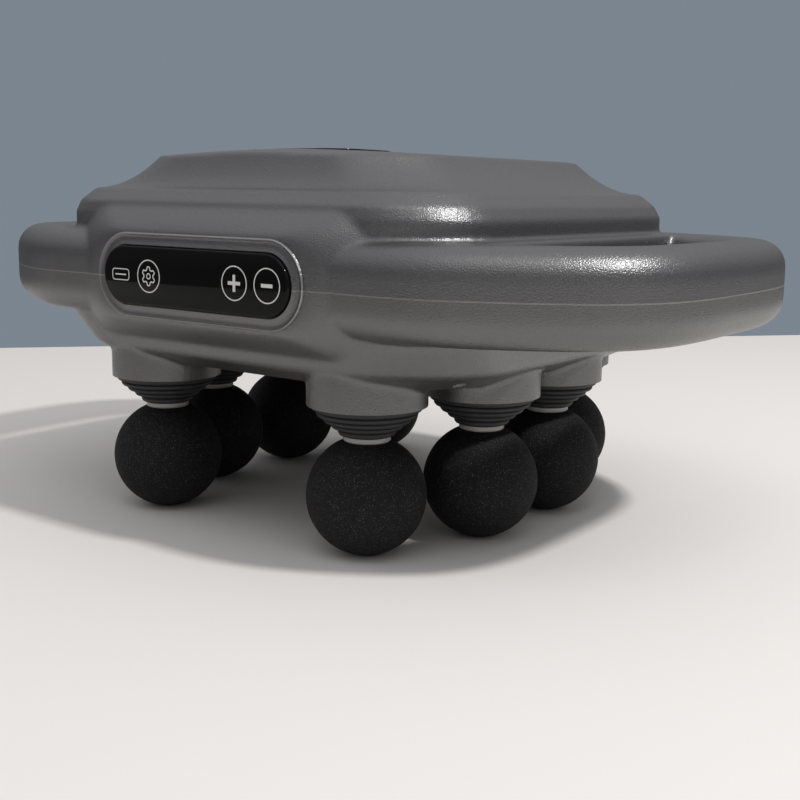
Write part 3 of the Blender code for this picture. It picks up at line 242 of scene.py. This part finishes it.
def laminate(name):
    """Green board with its tracks as a pattern of paler green lines."""
    paint = Paint(name, (0.015, 0.11, 0.05), 0.38)
    tracks = paint.node("ShaderNodeTexBrick", {"offset": 0.35, "offset_frequency": 3}, {
        "Vector": paint.place(), "Scale": 190.0, "Mortar Size": 0.035,
        "Color1": (0.0, 0.0, 0.0, 1.0), "Color2": (0.0, 0.0, 0.0, 1.0), "Mortar": (1.0, 1.0, 1.0, 1.0)})
    paint.feed("Base Color", paint.mix(tracks * 0.7, (0.015, 0.11, 0.05, 1.0), (0.05, 0.22, 0.10, 1.0)))
    return paint.material


def cell_wrap(name):
    paint = Paint(name, (0.02, 0.09, 0.30), 0.28, Coat_Weight=0.5)
    paint.bump(paint.noise(0.012, 3.0), 0.25, 0.0004)
    return paint.material


# Both shells are one plastic: the upper is made darker as painted shade, the lower lighter as painted light
# bounced up from the pale table.
SHELL_UPPER_PAINTED_SHADE = shell_plastic("satin_shell_upper_painted_shade", (0.030, 0.029, 0.030))
SHELL_LOWER_PAINTED_LIGHT = shell_plastic("satin_shell_lower_painted_light", (0.044, 0.0415, 0.039))
LENS_BLACK = polished_black("display_glass_black")
PLATE_BLACK = polished_black("top_plate_black", 0.07)
ICON_WHITE = Paint("display_print_white", (0.72, 0.72, 0.70), 0.35).material
BALL_BLACK = ball_cover("ball_foam_black")
BOOT_BLACK = boot_rubber("bellows_rubber_black")
RING_PALE = pale_plastic("stem_plastic_pale")
STEEL = metal("ground_steel", (0.52, 0.52, 0.53), 0.28)
CAN_STEEL = metal("motor_can_steel", (0.48, 0.49, 0.50), 0.34, 0.010)
ALUMINIUM = metal("frame_aluminium", (0.62, 0.63, 0.65), 0.36, 0.006)
SCREW_STEEL = metal("screw_black_steel", (0.10, 0.10, 0.11), 0.40)
NYLON = moulded("rocker_nylon", (0.66, 0.63, 0.54), 0.50)
GUIDE_BLACK = moulded("guide_moulding_black", (0.035, 0.035, 0.038), 0.48)
JACK_BLACK = moulded("socket_plastic_black", (0.016, 0.016, 0.017), 0.42)
BOARD_GREEN = laminate("board_laminate_green")
CELL_BLUE = cell_wrap("battery_wrap_blue")


def object_from(name, work, material, sharp=32.0):
    """A finished object from a bmesh, smooth but for edges sharper than the given angle."""
    mesh = bpy.data.meshes.new(name)
    work.to_mesh(mesh)
    work.free()
    mesh.shade_smooth()
    mesh.set_sharp_from_angle(angle=math.radians(sharp))
    item = bpy.data.objects.new(name, mesh)
    bpy.context.scene.collection.objects.link(item)
    mesh.materials.clear()
    mesh.materials.append(material)
    return item


def dress(item, body, slot, *nodes):
    """Sets a finished piece on its body in place of its CAD nodes."""
    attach(item, body)
    if nodes:
        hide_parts(*nodes)


def loft(rings, closed=False):
    """A bmesh skin through rings of (x, y, z) points, capped at both ends or led back to the first ring."""
    work = bmesh.new()
    verts = bmesh.ops.create_circle(work, segments=len(rings[0]), radius=1.0)["verts"]
    for vert, point in zip(verts, rings[0]):
        vert.co = point
    first = list(work.edges)
    edges = first
    if not closed:
        bmesh.ops.contextual_create(work, geom=first)
    for ring in rings[1:]:
        grown = bmesh.ops.extrude_edge_only(work, edges=edges)["geom"]
        fresh = {part for part in grown if isinstance(part, bmesh.types.BMVert)}
        verts = [next(edge.other_vert(vert) for edge in vert.link_edges if edge.other_vert(vert) in fresh)
                 for vert in verts]
        for vert, point in zip(verts, ring):
            vert.co = point
        edges = [edge for edge in work.edges if edge.verts[0] in fresh and edge.verts[1] in fresh]
    if closed:
        bmesh.ops.bridge_loops(work, edges=first + edges)
    else:
        bmesh.ops.contextual_create(work, geom=edges)
    bmesh.ops.recalc_face_normals(work, faces=work.faces)
    return work


def join(*works):
    """One bmesh out of several."""
    whole = bmesh.new()
    for work in works:
        mesh = bpy.data.meshes.new("part")
        work.to_mesh(mesh)
        work.free()
        whole.from_mesh(mesh)
        bpy.data.meshes.remove(mesh)
    return whole


def turned(profile, place, steps=48):
    """A bmesh turned about the vertical through place from a closed or axis-to-axis (radius, z) profile."""
    work = bmesh.new()
    verts = [work.verts.new((place[0] + radius, place[1], z)) for radius, z in profile]
    pairs = list(zip(verts, verts[1:]))
    if profile[0][0] > 0:
        pairs.append((verts[-1], verts[0]))
    edges = [work.edges.new(pair) for pair in pairs]
    bmesh.ops.spin(work, geom=verts + edges, cent=(*place, 0), axis=(0, 0, 1), angle=math.tau,
                   steps=steps, use_merge=True)
    bmesh.ops.remove_doubles(work, verts=work.verts, dist=0.000001)
    bmesh.ops.recalc_face_normals(work, faces=work.faces)
    return work


def slab(low, high):
    """A plain box between two corners."""
    work = bmesh.new()
    bmesh.ops.create_cube(work, size=1.0)
    low, high = Vector(low), Vector(high)
    bmesh.ops.scale(work, vec=high - low, verts=work.verts)
    bmesh.ops.translate(work, vec=(low + high) / 2, verts=work.verts)
    return work


def rod(radius, low, high, place, steps=32):
    return turned([(0, low), (radius, low), (radius, high), (0, high)], place, steps)


def applied(work, *steps):
    """The bmesh after modifiers, each given as (type, settings)."""
    item = object_from("work", work, ICON_WHITE)
    spare = []
    for kind, settings in steps:
        modifier = item.modifiers.new(kind, kind)
        for name, value in settings.items():
            if isinstance(value, bmesh.types.BMesh):
                value = object_from("tool", value, ICON_WHITE)
                spare.append(value)
            setattr(modifier, name, value)
    bpy.context.view_layer.update()
    graph = bpy.context.evaluated_depsgraph_get()
    mesh = bpy.data.meshes.new_from_object(item.evaluated_get(graph))
    result = bmesh.new()
    result.from_mesh(mesh)
    for used in (item, *spare):
        data = used.data
        bpy.data.objects.remove(used)
        bpy.data.meshes.remove(data)
    bpy.data.meshes.remove(mesh)
    return result


def cut(work, *tools):
    """The solid less each tool; every tool is one closed solid or several that lie apart."""
    return applied(work, *[("BOOLEAN", {"operation": "DIFFERENCE", "solver": "MANIFOLD", "object": tool})
                           for tool in tools])


def fused(work, size, rounds):
    """One skin round overlapping solids, with its inner corners filled and its edges eased."""
    return applied(work, ("REMESH", {"mode": "VOXEL", "voxel_size": size}),
                   ("SMOOTH", {"factor": 0.5, "iterations": rounds}))


def rounded(half_x, half_y, corner, steps=10, straights=1):
    """Rectangle with round corners, as (x, y) points, its straight runs in as many parts as asked."""
    sides = [(1, 1), (-1, 1), (-1, -1), (1, -1)]
    runs = [
        ((half_x - corner, half_y), (corner - half_x, half_y)),
        ((-half_x, half_y - corner), (-half_x, corner - half_y)),
        ((corner - half_x, -half_y), (half_x - corner, -half_y)),
        ((half_x, corner - half_y), (half_x, half_y - corner)),
    ]
    points = []
    for quarter, ((side_x, side_y), (start, end)) in enumerate(zip(sides, runs)):
        for step in range(steps + 1):
            angle = (quarter + step / steps) * math.pi / 2
            points.append((side_x * (half_x - corner) + corner * math.cos(angle),
                           side_y * (half_y - corner) + corner * math.sin(angle)))
        for part in range(1, straights):
            points.append((start[0] + (end[0] - start[0]) * part / straights,
                           start[1] + (end[1] - start[1]) * part / straights))
    return points


def crown_height(x, y):
    """The top's gentle dome: an arch from handle to handle that drops near both ends."""
    return 0.1662 - 0.0022 * abs(x / PLATEAU_X) ** 8 - 0.0029 * abs(y / PLATEAU_Y) ** 1.6


def body_solid(inset):
    """The body between the handles: floor, waist, wall, chamfer, shoulder, hollow cove and crown."""
    rows = [
        (0.0920, 0.0970, 0.0440, FLOOR_Z + inset), (0.1045, 0.1098, 0.0500, 0.0766 + inset / 2),
        (0.1062, 0.1115, 0.0480, 0.0790 + inset / 4), (0.1090, 0.1130, 0.0370, 0.0900),
        (0.1090, 0.1130, 0.0370, 0.1270), (0.1079, 0.1124, 0.0369, 0.1310),
        (0.1079, 0.1124, 0.0369, 0.1374 - inset / 4), (0.1064, 0.1092, 0.0352, 0.1428 - inset / 2),
    ]

    def outline(half_x, half_y, corner):
        return rounded(half_x - inset, half_y - inset, corner - inset, straights=BODY_STRAIGHTS)

    rings = [[(x, y, z) for x, y in outline(half_x, half_y, corner)] for half_x, half_y, corner, z in rows]
    rim = outline(PLATEAU_X, PLATEAU_Y, PLATEAU_CORNER)
    shoulder = outline(SHOULDER_X, SHOULDER_Y, SHOULDER_CORNER)
    for step in range(11):
        inward = step / 10
        rings.append([(low_x + (x - low_x) * inward, low_y + (y - low_y) * inward,
                       SHOULDER_Z + (crown_height(x, y) - SHOULDER_Z) * inward ** 2 - inset)
                      for (low_x, low_y), (x, y) in zip(shoulder, rim)])
    for step in range(1, 24):
        share = 1 - step / 24
        rings.append([(x * share, y * share, crown_height(x * share, y * share) - inset) for x, y in rim])
    return loft(rings)


def belt_ring(inward, z, count=200):
    """The belt's outline, moved inward: a squared ellipse, fuller where the handles leave the body."""
    points = []
    for step in range(count):
        angle = math.tau * step / count
        c, s = math.cos(angle), math.sin(angle)
        reach = (abs(c) ** BELT_POWER + abs(s) ** BELT_POWER) ** (-1 / BELT_POWER)
        x, y = BELT_X * reach * c, BELT_Y * reach * s
        fade = SWELL_REACH if abs(y) > SWELL_Y else SWELL_INWARD
        swell = BELT_SWELL * math.exp(-((abs(y) - SWELL_Y) / fade) ** 2)
        points.append(Vector((x + swell * math.tanh(x / SWELL_REACH * 2), y)))
    moved = []
    for index, point in enumerate(points):
        along = (points[(index + 1) % count] - points[index - 1]).normalized()
        moved.append((point.x - along.y * inward, point.y + along.x * inward, z))
    return moved


def quarter_turn(steps):
    return [step / steps * math.pi / 2 for step in range(steps + 1)]


def loop_solid(side, wall):
    """What opens one handle, flared at both faces for the fingers."""
    radius = LOOP_EDGE - wall
    low, high = BELT_BOTTOM_Z + LOOP_EDGE, BELT_TOP_Z - LOOP_EDGE
    width = HANDLE_WIDTH - wall
    rings = [belt_ring(width - radius, BELT_BOTTOM_Z - WALL)]
    rings += [belt_ring(width - radius * (1 - math.sin(angle)), low - radius * math.cos(angle))
              for angle in quarter_turn(4)]
    rings += [belt_ring(width - radius * (1 - math.cos(angle)), high + radius * math.sin(angle))
              for angle in quarter_turn(4)]
    rings.append(belt_ring(width - radius, BELT_TOP_Z + WALL))
    work = loft(rings)
    parts = work.verts[:] + work.edges[:] + work.faces[:]
    bmesh.ops.bisect_plane(work, geom=parts, plane_co=(0, side * (LOOP_INNER_Y - wall), 0),
                           plane_no=(0, -side, 0), clear_outer=True)
    rim = [edge for edge in work.edges if edge.is_boundary]
    bmesh.ops.contextual_create(work, geom=rim)
    bmesh.ops.recalc_face_normals(work, faces=work.faces)
    return work


def belt_solid(inset):
    """Handles and belt in one ring of round edges, open at both loops."""
    radius = BELT_EDGE - inset
    low, high = BELT_BOTTOM_Z + BELT_EDGE, BELT_TOP_Z - BELT_EDGE
    rings = [belt_ring(BELT_EDGE - radius * math.sin(angle), low - radius * math.cos(angle))
             for angle in quarter_turn(6)]
    rings += [belt_ring(BELT_EDGE - radius * math.cos(angle), high + radius * math.sin(angle))
              for angle in quarter_turn(6)]
    return cut(loft(rings), loop_solid(1, inset), loop_solid(-1, inset))


def fairing_solid(side, inset):
    """The swelling round the display, and its like at the charging end."""
    rows = []
    for step in range(13):
        share = step / 12
        bulge = 1 - (1 - share) ** 1.35
        rows.append((FAIRING_ROOT_X + (FACE_X + 0.0004 - FAIRING_ROOT_X) * bulge - inset,
                     0.0600 + 0.0290 * (1 - share) ** 0.75 - inset,
                     0.0300 - 0.0120 * share - inset, 0.0240 - 0.0060 * share - inset))
    return loft([[(side * x, y, DISPLAY_Z + z) for y, z in rounded(half_y, half_z, corner)]
                 for x, half_y, half_z, corner in rows])


def collar_solid(place):
    """Round collar under the sloping floor."""
    return rod(COLLAR_RADIUS, COLLAR_BOTTOM_Z - 0.004, 0.0800, place, 96)


def stadium(length, height, x):
    """Display outline with round ends on the plane x, as (x, y, z) points."""
    return [(x, y, DISPLAY_Z + z) for y, z in rounded(length, height, height * 0.9995, 14)]


def bezel_solid():
    """Frame round the lens: a fine raised rim, a shallow dish and an edge at the glass."""
    profile = [
        (0.0062, -0.0014), (0.0057, 0.0004), (0.0055, 0.0010), (0.0052, 0.0013), (0.0049, 0.0012),
        (0.0046, 0.0007), (0.0036, 0.0005), (0.0022, 0.0007), (0.0012, 0.0012), (0.0006, 0.0015),
        (0.0002, 0.0013), (0.0002, -0.0018),
    ]
    rings = [stadium(LENS_LENGTH + out, LENS_HEIGHT + out, -FACE_X - proud) for out, proud in profile]
    return loft(rings, True)


def skin_and_hollow():
    """The outside of both shells as one solid, and what is empty inside them."""
    solids = [body_solid(0.0), belt_solid(0.0), fairing_solid(-1, 0.0), fairing_solid(1, 0.0)]
    solids += [collar_solid(place) for place in HEADS]
    inside = [body_solid(WALL), belt_solid(WALL), fairing_solid(-1, WALL), fairing_solid(1, WALL)]
    return fused(join(*solids), FINE, 3), fused(join(*inside), COARSE, 2)


def housing():
    """Both shells, cut from one skin at the parting plane, each with its half of the lens's frame."""
    skin, hollow = skin_and_hollow()
    posts = join(*[rod(POST_RADIUS, 0.050, 0.18, place, 20) for place in SCREW_PLACES])
    hollow = cut(hollow, posts)
    bezel = bezel_solid()
    above = (-FAR, -FAR, PARTING_Z - SEAM), (FAR, FAR, FAR)
    below = (-FAR, -FAR, -FAR), (FAR, FAR, PARTING_Z + SEAM)
    seat = loft([stadium(LENS_LENGTH + 0.0015, LENS_HEIGHT + 0.0015, x) for x in (-0.13, -FACE_X + 0.0010)])
    plate = [[(PLATE_MIDDLE_X + x, y, z) for x, y in rounded(PLATE_X + GAP, PLATE_Y + GAP, PLATE_CORNER)]
             for z in (PLATE_TOP_Z - 0.0023, FAR)]
    upper = cut(skin.copy(), slab(*below), hollow.copy(), seat.copy(), loft(plate))
    lower = cut(skin, slab(*above), slab((-FAR, -FAR, -FAR), (FAR, FAR, COLLAR_BOTTOM_Z)), hollow, seat)
    recess = join(*[rod(RECESS_RADIUS, 0.05, FLOOR_Z - GAP, place, 64) for place in HEADS])
    guides = join(*[rod(GUIDE_HOLE_RADIUS, 0.05, 0.08, place, 24) for place in HEADS])
    bores = join(*[rod(SCREW_BORE_RADIUS, 0.05, SCREW_SEAT_Z, place, 24) for place in SCREW_PLACES])
    jack = rod(JACK_RADIUS, 0.10, 0.13, (0, 0), 32)
    bmesh.ops.rotate(jack, cent=(0, 0, 0), matrix=Matrix.Rotation(math.pi / 2, 3, "Y"), verts=jack.verts)
    bmesh.ops.translate(jack, vec=(0, 0, JACK_Z), verts=jack.verts)
    lower = cut(lower, recess, guides, bores, jack)
    upper = join(upper, cut(bezel.copy(), slab(*below)))
    lower = join(lower, cut(bezel, slab(*above)))
    upper = object_from("housing_upper_shell", upper, SHELL_UPPER_PAINTED_SHADE, 52.0)
    dress(upper, "housing", "upper_shell_plastic", "upper_housing")
    lower = object_from("housing_lower_shell", lower, SHELL_LOWER_PAINTED_LIGHT, 52.0)
    dress(lower, "housing", "lower_shell_plastic", "lower_housing")


def display():
    """The lens with its softened front edge, and the white signs of the keys on it."""
    back, front = -FACE_X + 0.0003, -LENS_X + 0.0001
    rings = [stadium(LENS_LENGTH, LENS_HEIGHT, back), stadium(LENS_LENGTH, LENS_HEIGHT, front + 0.0007),
             stadium(LENS_LENGTH - 0.0001, LENS_HEIGHT - 0.0001, front + 0.0004),
             stadium(LENS_LENGTH - 0.0004, LENS_HEIGHT - 0.0004, front + 0.0001),
             stadium(LENS_LENGTH - 0.0008, LENS_HEIGHT - 0.0008, front)]
    dress(object_from("display_glass", loft(rings), LENS_BLACK), "housing", "lens_gloss", "display_lens")
    root, face = front + PRINT_ROOT, front - PRINT_PROUD

    def line(points, width, y, z=KEYS_Z):
        """A flat printed line of even width along a closed row of (across, up) points."""
        count = len(points)
        inner, outer = [], []
        for index, point in enumerate(points):
            before, after = points[index - 1], points[(index + 1) % count]
            along = Vector((after[0] - before[0], after[1] - before[1])).normalized()
            side = Vector((along.y, -along.x)) * width / 2
            outer.append((point[0] + side.x, point[1] + side.y))
            inner.append((point[0] - side.x, point[1] - side.y))
        rings = [[(x, y + across, z + up) for across, up in row]
                 for row, x in ((outer, root), (outer, face), (inner, face), (inner, root))]
        return loft(rings, True)

    def bar(half_across, half_up, y, proud=0.0, z=KEYS_Z):
        return slab((face - proud, y - half_across, z - half_up), (root, y + half_across, z + half_up))

    def circle(radius, count=56):
        return [(radius * math.cos(math.tau * step / count), radius * math.sin(math.tau * step / count))
                for step in range(count)]

    icons = [line(circle(0.0067), 0.00048, y) for y in (GEAR_Y, PLUS_Y, MINUS_Y)]
    gear = []
    for step in range(72):
        angle = math.tau * step / 72
        tooth = max(-1.0, min(1.0, 1.9 * math.cos(6 * angle)))
        radius = 0.00335 + 0.00055 * tooth
        gear.append((radius * math.sin(angle), radius * math.cos(angle)))
    icons += [line(gear, 0.00052, GEAR_Y), line(circle(0.0011, 28), 0.00045, GEAR_Y)]
    icons += [bar(0.00335, 0.00070, PLUS_Y), bar(0.00070, 0.00335, PLUS_Y, 0.00002)]
    icons.append(bar(0.00300, 0.00072, MINUS_Y))
    icons += [line(rounded(0.0052, 0.0023, 0.0012, 5), 0.00042, BATTERY_Y), bar(0.0034, 0.00028, BATTERY_Y)]
    dress(object_from("display_icons", join(*icons), ICON_WHITE), "housing", "lens_gloss")


def top_plate():
    """The glossy plate, its upper edge softened."""
    top = PLATE_TOP_Z
    rows = [(0.0, top - 0.0020), (0.0, top - 0.0006), (0.0002, top - 0.0002), (0.0006, top)]
    rings = [[(PLATE_MIDDLE_X + x, y, z) for x, y in
              rounded(PLATE_X - inward, PLATE_Y - inward, PLATE_CORNER - inward, 16)] for inward, z in rows]
    plate = object_from("top_plate_polished", loft(rings), PLATE_BLACK)
    dress(plate, "housing", "top_plate_gloss", "top_plate")


def ball_profile():
    """Ball with a flat to stand on, and a socket for the stem."""
    centre, radius, top = 0.0245, 0.025, 0.0470
    start, end = math.acos(centre / radius), math.pi - math.acos((top - centre) / radius)
    profile = [(0, 0.0)]
    for step in range(41):
        angle = start + (end - start) * step / 40
        profile.append((radius * math.sin(angle), centre - radius * math.cos(angle)))
    return profile + [(0.0056, top), (0.0053, top - 0.0003), (0.0053, 0.0210), (0, 0.0210)]


def boot_profile():
    """Bellows of five ribs, each a soft step wider than the one below, up to a flange in the collar."""
    bottom, top = 0.0496, 0.0699
    radii = [0.0120, 0.0150, 0.0182, 0.0210, 0.0231]
    heights = [bottom, 0.0526, 0.0551, 0.0576, 0.0601, 0.0636]
    profile = []
    for radius, low, high in zip(radii, heights, heights[1:]):
        step = high - low
        profile += [(radius - 0.0018, low + step * 0.02), (radius - 0.0006, low + step * 0.16),
                    (radius - 0.0001, low + step * 0.42), (radius, low + step * 0.66),
                    (radius - 0.0004, low + step * 0.90), (radius - 0.0010, low + step * 1.0)]
    profile += [(0.0226, 0.0640), (0.0224, 0.0660), (0.0224, top), (0.0170, top),
                (0.0170, top - 0.0012), (0.0210, top - 0.0014), (0.0208, 0.0645), (0.0172, 0.0600),
                (0.0136, 0.0568), (0.0104, 0.0540), (0.0101, 0.0530), (0.0101, bottom)]
    return profile


def stem_profile():
    """Foot in the ball, ring on the ball, seat of the bellows, rod and the rocker's spool."""
    return [
        (0, 0.0213), (0.0044, 0.0213), (0.0050, 0.0219), (0.0050, 0.0473), (0.0092, 0.0473),
        (0.0098, 0.0479), (0.0098, 0.0500), (0.0093, 0.0505), (0.0090, 0.0507), (0.0090, 0.0524),
        (0.0050, 0.0526), (0.0050, 0.0920), (0.0070, 0.0932), (0.0070, 0.0952), (0.0030, 0.0952),
        (0.0030, 0.1014), (0.0070, 0.1014), (0.0070, 0.1034), (0, 0.1034),
    ]


def heads():
    for number, place in enumerate(HEADS, 1):
        body = f"head_{number}"
        ball = object_from(f"ball_{number}_foam", turned(ball_profile(), place, 72), BALL_BLACK)
        dress(ball, body, "ball_foam", f"ball_{number}")
        stem = object_from(f"stem_{number}_turned", turned(stem_profile(), place, 48), RING_PALE)
        dress(stem, body, "stem_plastic", f"stem_{number}")
        boot = object_from(f"bellows_{number}_ribbed", turned(boot_profile(), place, 64), BOOT_BLACK, 55.0)
        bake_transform(boot)
        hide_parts(f"bellows_{number}")


def housing_screws():
    """Pan-head screws at the foot of each bore, with a cross recess."""
    works = []
    for place in SCREW_PLACES:
        low = SCREW_SEAT_Z - 0.0022
        seat = SCREW_SEAT_Z - GAP
        head = turned([(0, low), (0.0016, low + 0.0001), (0.0026, low + 0.0009), (0.0028, seat),
                       (0.0014, seat), (0.0014, 0.1200), (0, 0.1206)], place, 24)
        x, y = place
        slots = [slab((x - 0.0016, y - 0.0003, low - 0.001), (x + 0.0016, y + 0.0003, low + 0.0010)),
                 slab((x - 0.0003, y - 0.0016, low - 0.001), (x + 0.0003, y + 0.0016, low + 0.0010))]
        works.append(cut(head, *slots))
    dress(object_from("housing_screws", join(*works), SCREW_STEEL), "housing", "clamp_steel")


def inner_finishes():
    """Finishes of the CAD pieces that stay as they are."""
    finishes = {
        "display_board": BOARD_GREEN, "charge_jack": JACK_BLACK, "motor_frame": ALUMINIUM,
        "control_board": BOARD_GREEN, "battery_pack": CELL_BLUE, "battery_clamp": STEEL,
    }
    for number in range(1, 5):
        finishes |= {f"motor_{number}": CAN_STEEL, f"rotor_{number}": STEEL, f"bearing_{number}": STEEL,
                     f"rocker_{number}": NYLON, f"rocker_pin_{number}": STEEL,
                     f"guide_block_{number}": GUIDE_BLACK}
    for name, material in finishes.items():
        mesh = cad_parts[name].data
        mesh.materials.clear()
        mesh.materials.append(material)


def studio():
    """Pale table, a plain blue-grey room round it, a small and a broad lamp, and the camera."""
    floor = bmesh.new()
    bmesh.ops.create_grid(floor, x_segments=1, y_segments=1, size=1.0)
    bmesh.ops.translate(floor, vec=(TABLE_EDGE - 1.0, 0, 0), verts=floor.verts)
    bmesh.ops.rotate(floor, cent=(0, 0, 0), matrix=Matrix.Rotation(TABLE_TURN, 3, "Z"), verts=floor.verts)
    cloth = Paint("table_white", (0.75, 0.722, 0.688), 0.85, Specular_IOR_Level=0.2)
    cloth.bump(cloth.noise(0.004, 3.0), 0.08, 0.0005)
    object_from("table_top", floor, cloth.material)

    world = bpy.data.worlds.new("room")
    bpy.context.scene.world = world
    world.use_nodes = True
    nodes, links = world.node_tree.nodes, world.node_tree.links
    seen, light = nodes["Background"], nodes.new("ShaderNodeBackground")
    seen.inputs["Color"].default_value = (0.20, 0.235, 0.275, 1.0)
    place, split, ramp = (nodes.new(kind) for kind in
                          ("ShaderNodeTexCoord", "ShaderNodeSeparateXYZ", "ShaderNodeValToRGB"))
    links.new(place.outputs["Generated"], split.inputs[0])
    links.new(split.outputs["Z"], ramp.inputs[0])
    stops = ramp.color_ramp.elements
    stops[0].position, stops[0].color = 0.0, (0.09, 0.095, 0.11, 1.0)
    stops[1].position, stops[1].color = 0.85, (0.74, 0.74, 0.76, 1.0)
    links.new(ramp.outputs["Color"], light.inputs["Color"])
    path, choose = nodes.new("ShaderNodeLightPath"), nodes.new("ShaderNodeMixShader")
    links.new(path.outputs["Is Camera Ray"], choose.inputs[0])
    links.new(light.outputs[0], choose.inputs[1])
    links.new(seen.outputs[0], choose.inputs[2])
    links.new(choose.outputs[0], nodes["World Output"].inputs["Surface"])

    def lamp(name, azimuth, elevation, distance, size, power):
        turn, rise = math.radians(azimuth), math.radians(elevation)
        way = Vector((math.cos(rise) * math.cos(turn), math.cos(rise) * math.sin(turn), math.sin(rise)))
        data = bpy.data.lights.new(name, "AREA")
        data.shape, data.size, data.energy = "DISK", size, power
        item = bpy.data.objects.new(name, data)
        item.location = Vector((0, 0, 0.1)) + way * distance
        item.rotation_euler = way.to_track_quat("Z", "Y").to_euler()
        bpy.context.scene.collection.objects.link(item)

    lamp("window_lamp", -88, 50, 1.7, 0.13, 18.5)
    lamp("room_lamp", -150, 62, 1.8, 1.00, 2.5)

    data = bpy.data.cameras.new("photo_camera")
    data.lens, data.sensor_width = 51.60, 36.0
    data.shift_y = PHOTO_SHIFT / PHOTO_PIXELS
    data.clip_start = 0.01
    camera = bpy.data.objects.new("photo_camera", data)
    turn = (Matrix.Rotation(math.radians(CAMERA_TURN), 4, "Z")
            @ Matrix.Rotation(math.radians(90 - CAMERA_DOWN), 4, "X")
            @ Matrix.Rotation(math.radians(CAMERA_ROLL), 4, "Z"))
    camera.matrix_world = Matrix.Translation(CAMERA_PLACE) @ turn
    bpy.context.scene.collection.objects.link(camera)
    bpy.context.scene.camera = camera
    bpy.context.scene.view_settings.view_transform = "Standard"


housing()
display()
top_plate()
heads()
housing_screws()
inner_finishes()
studio()
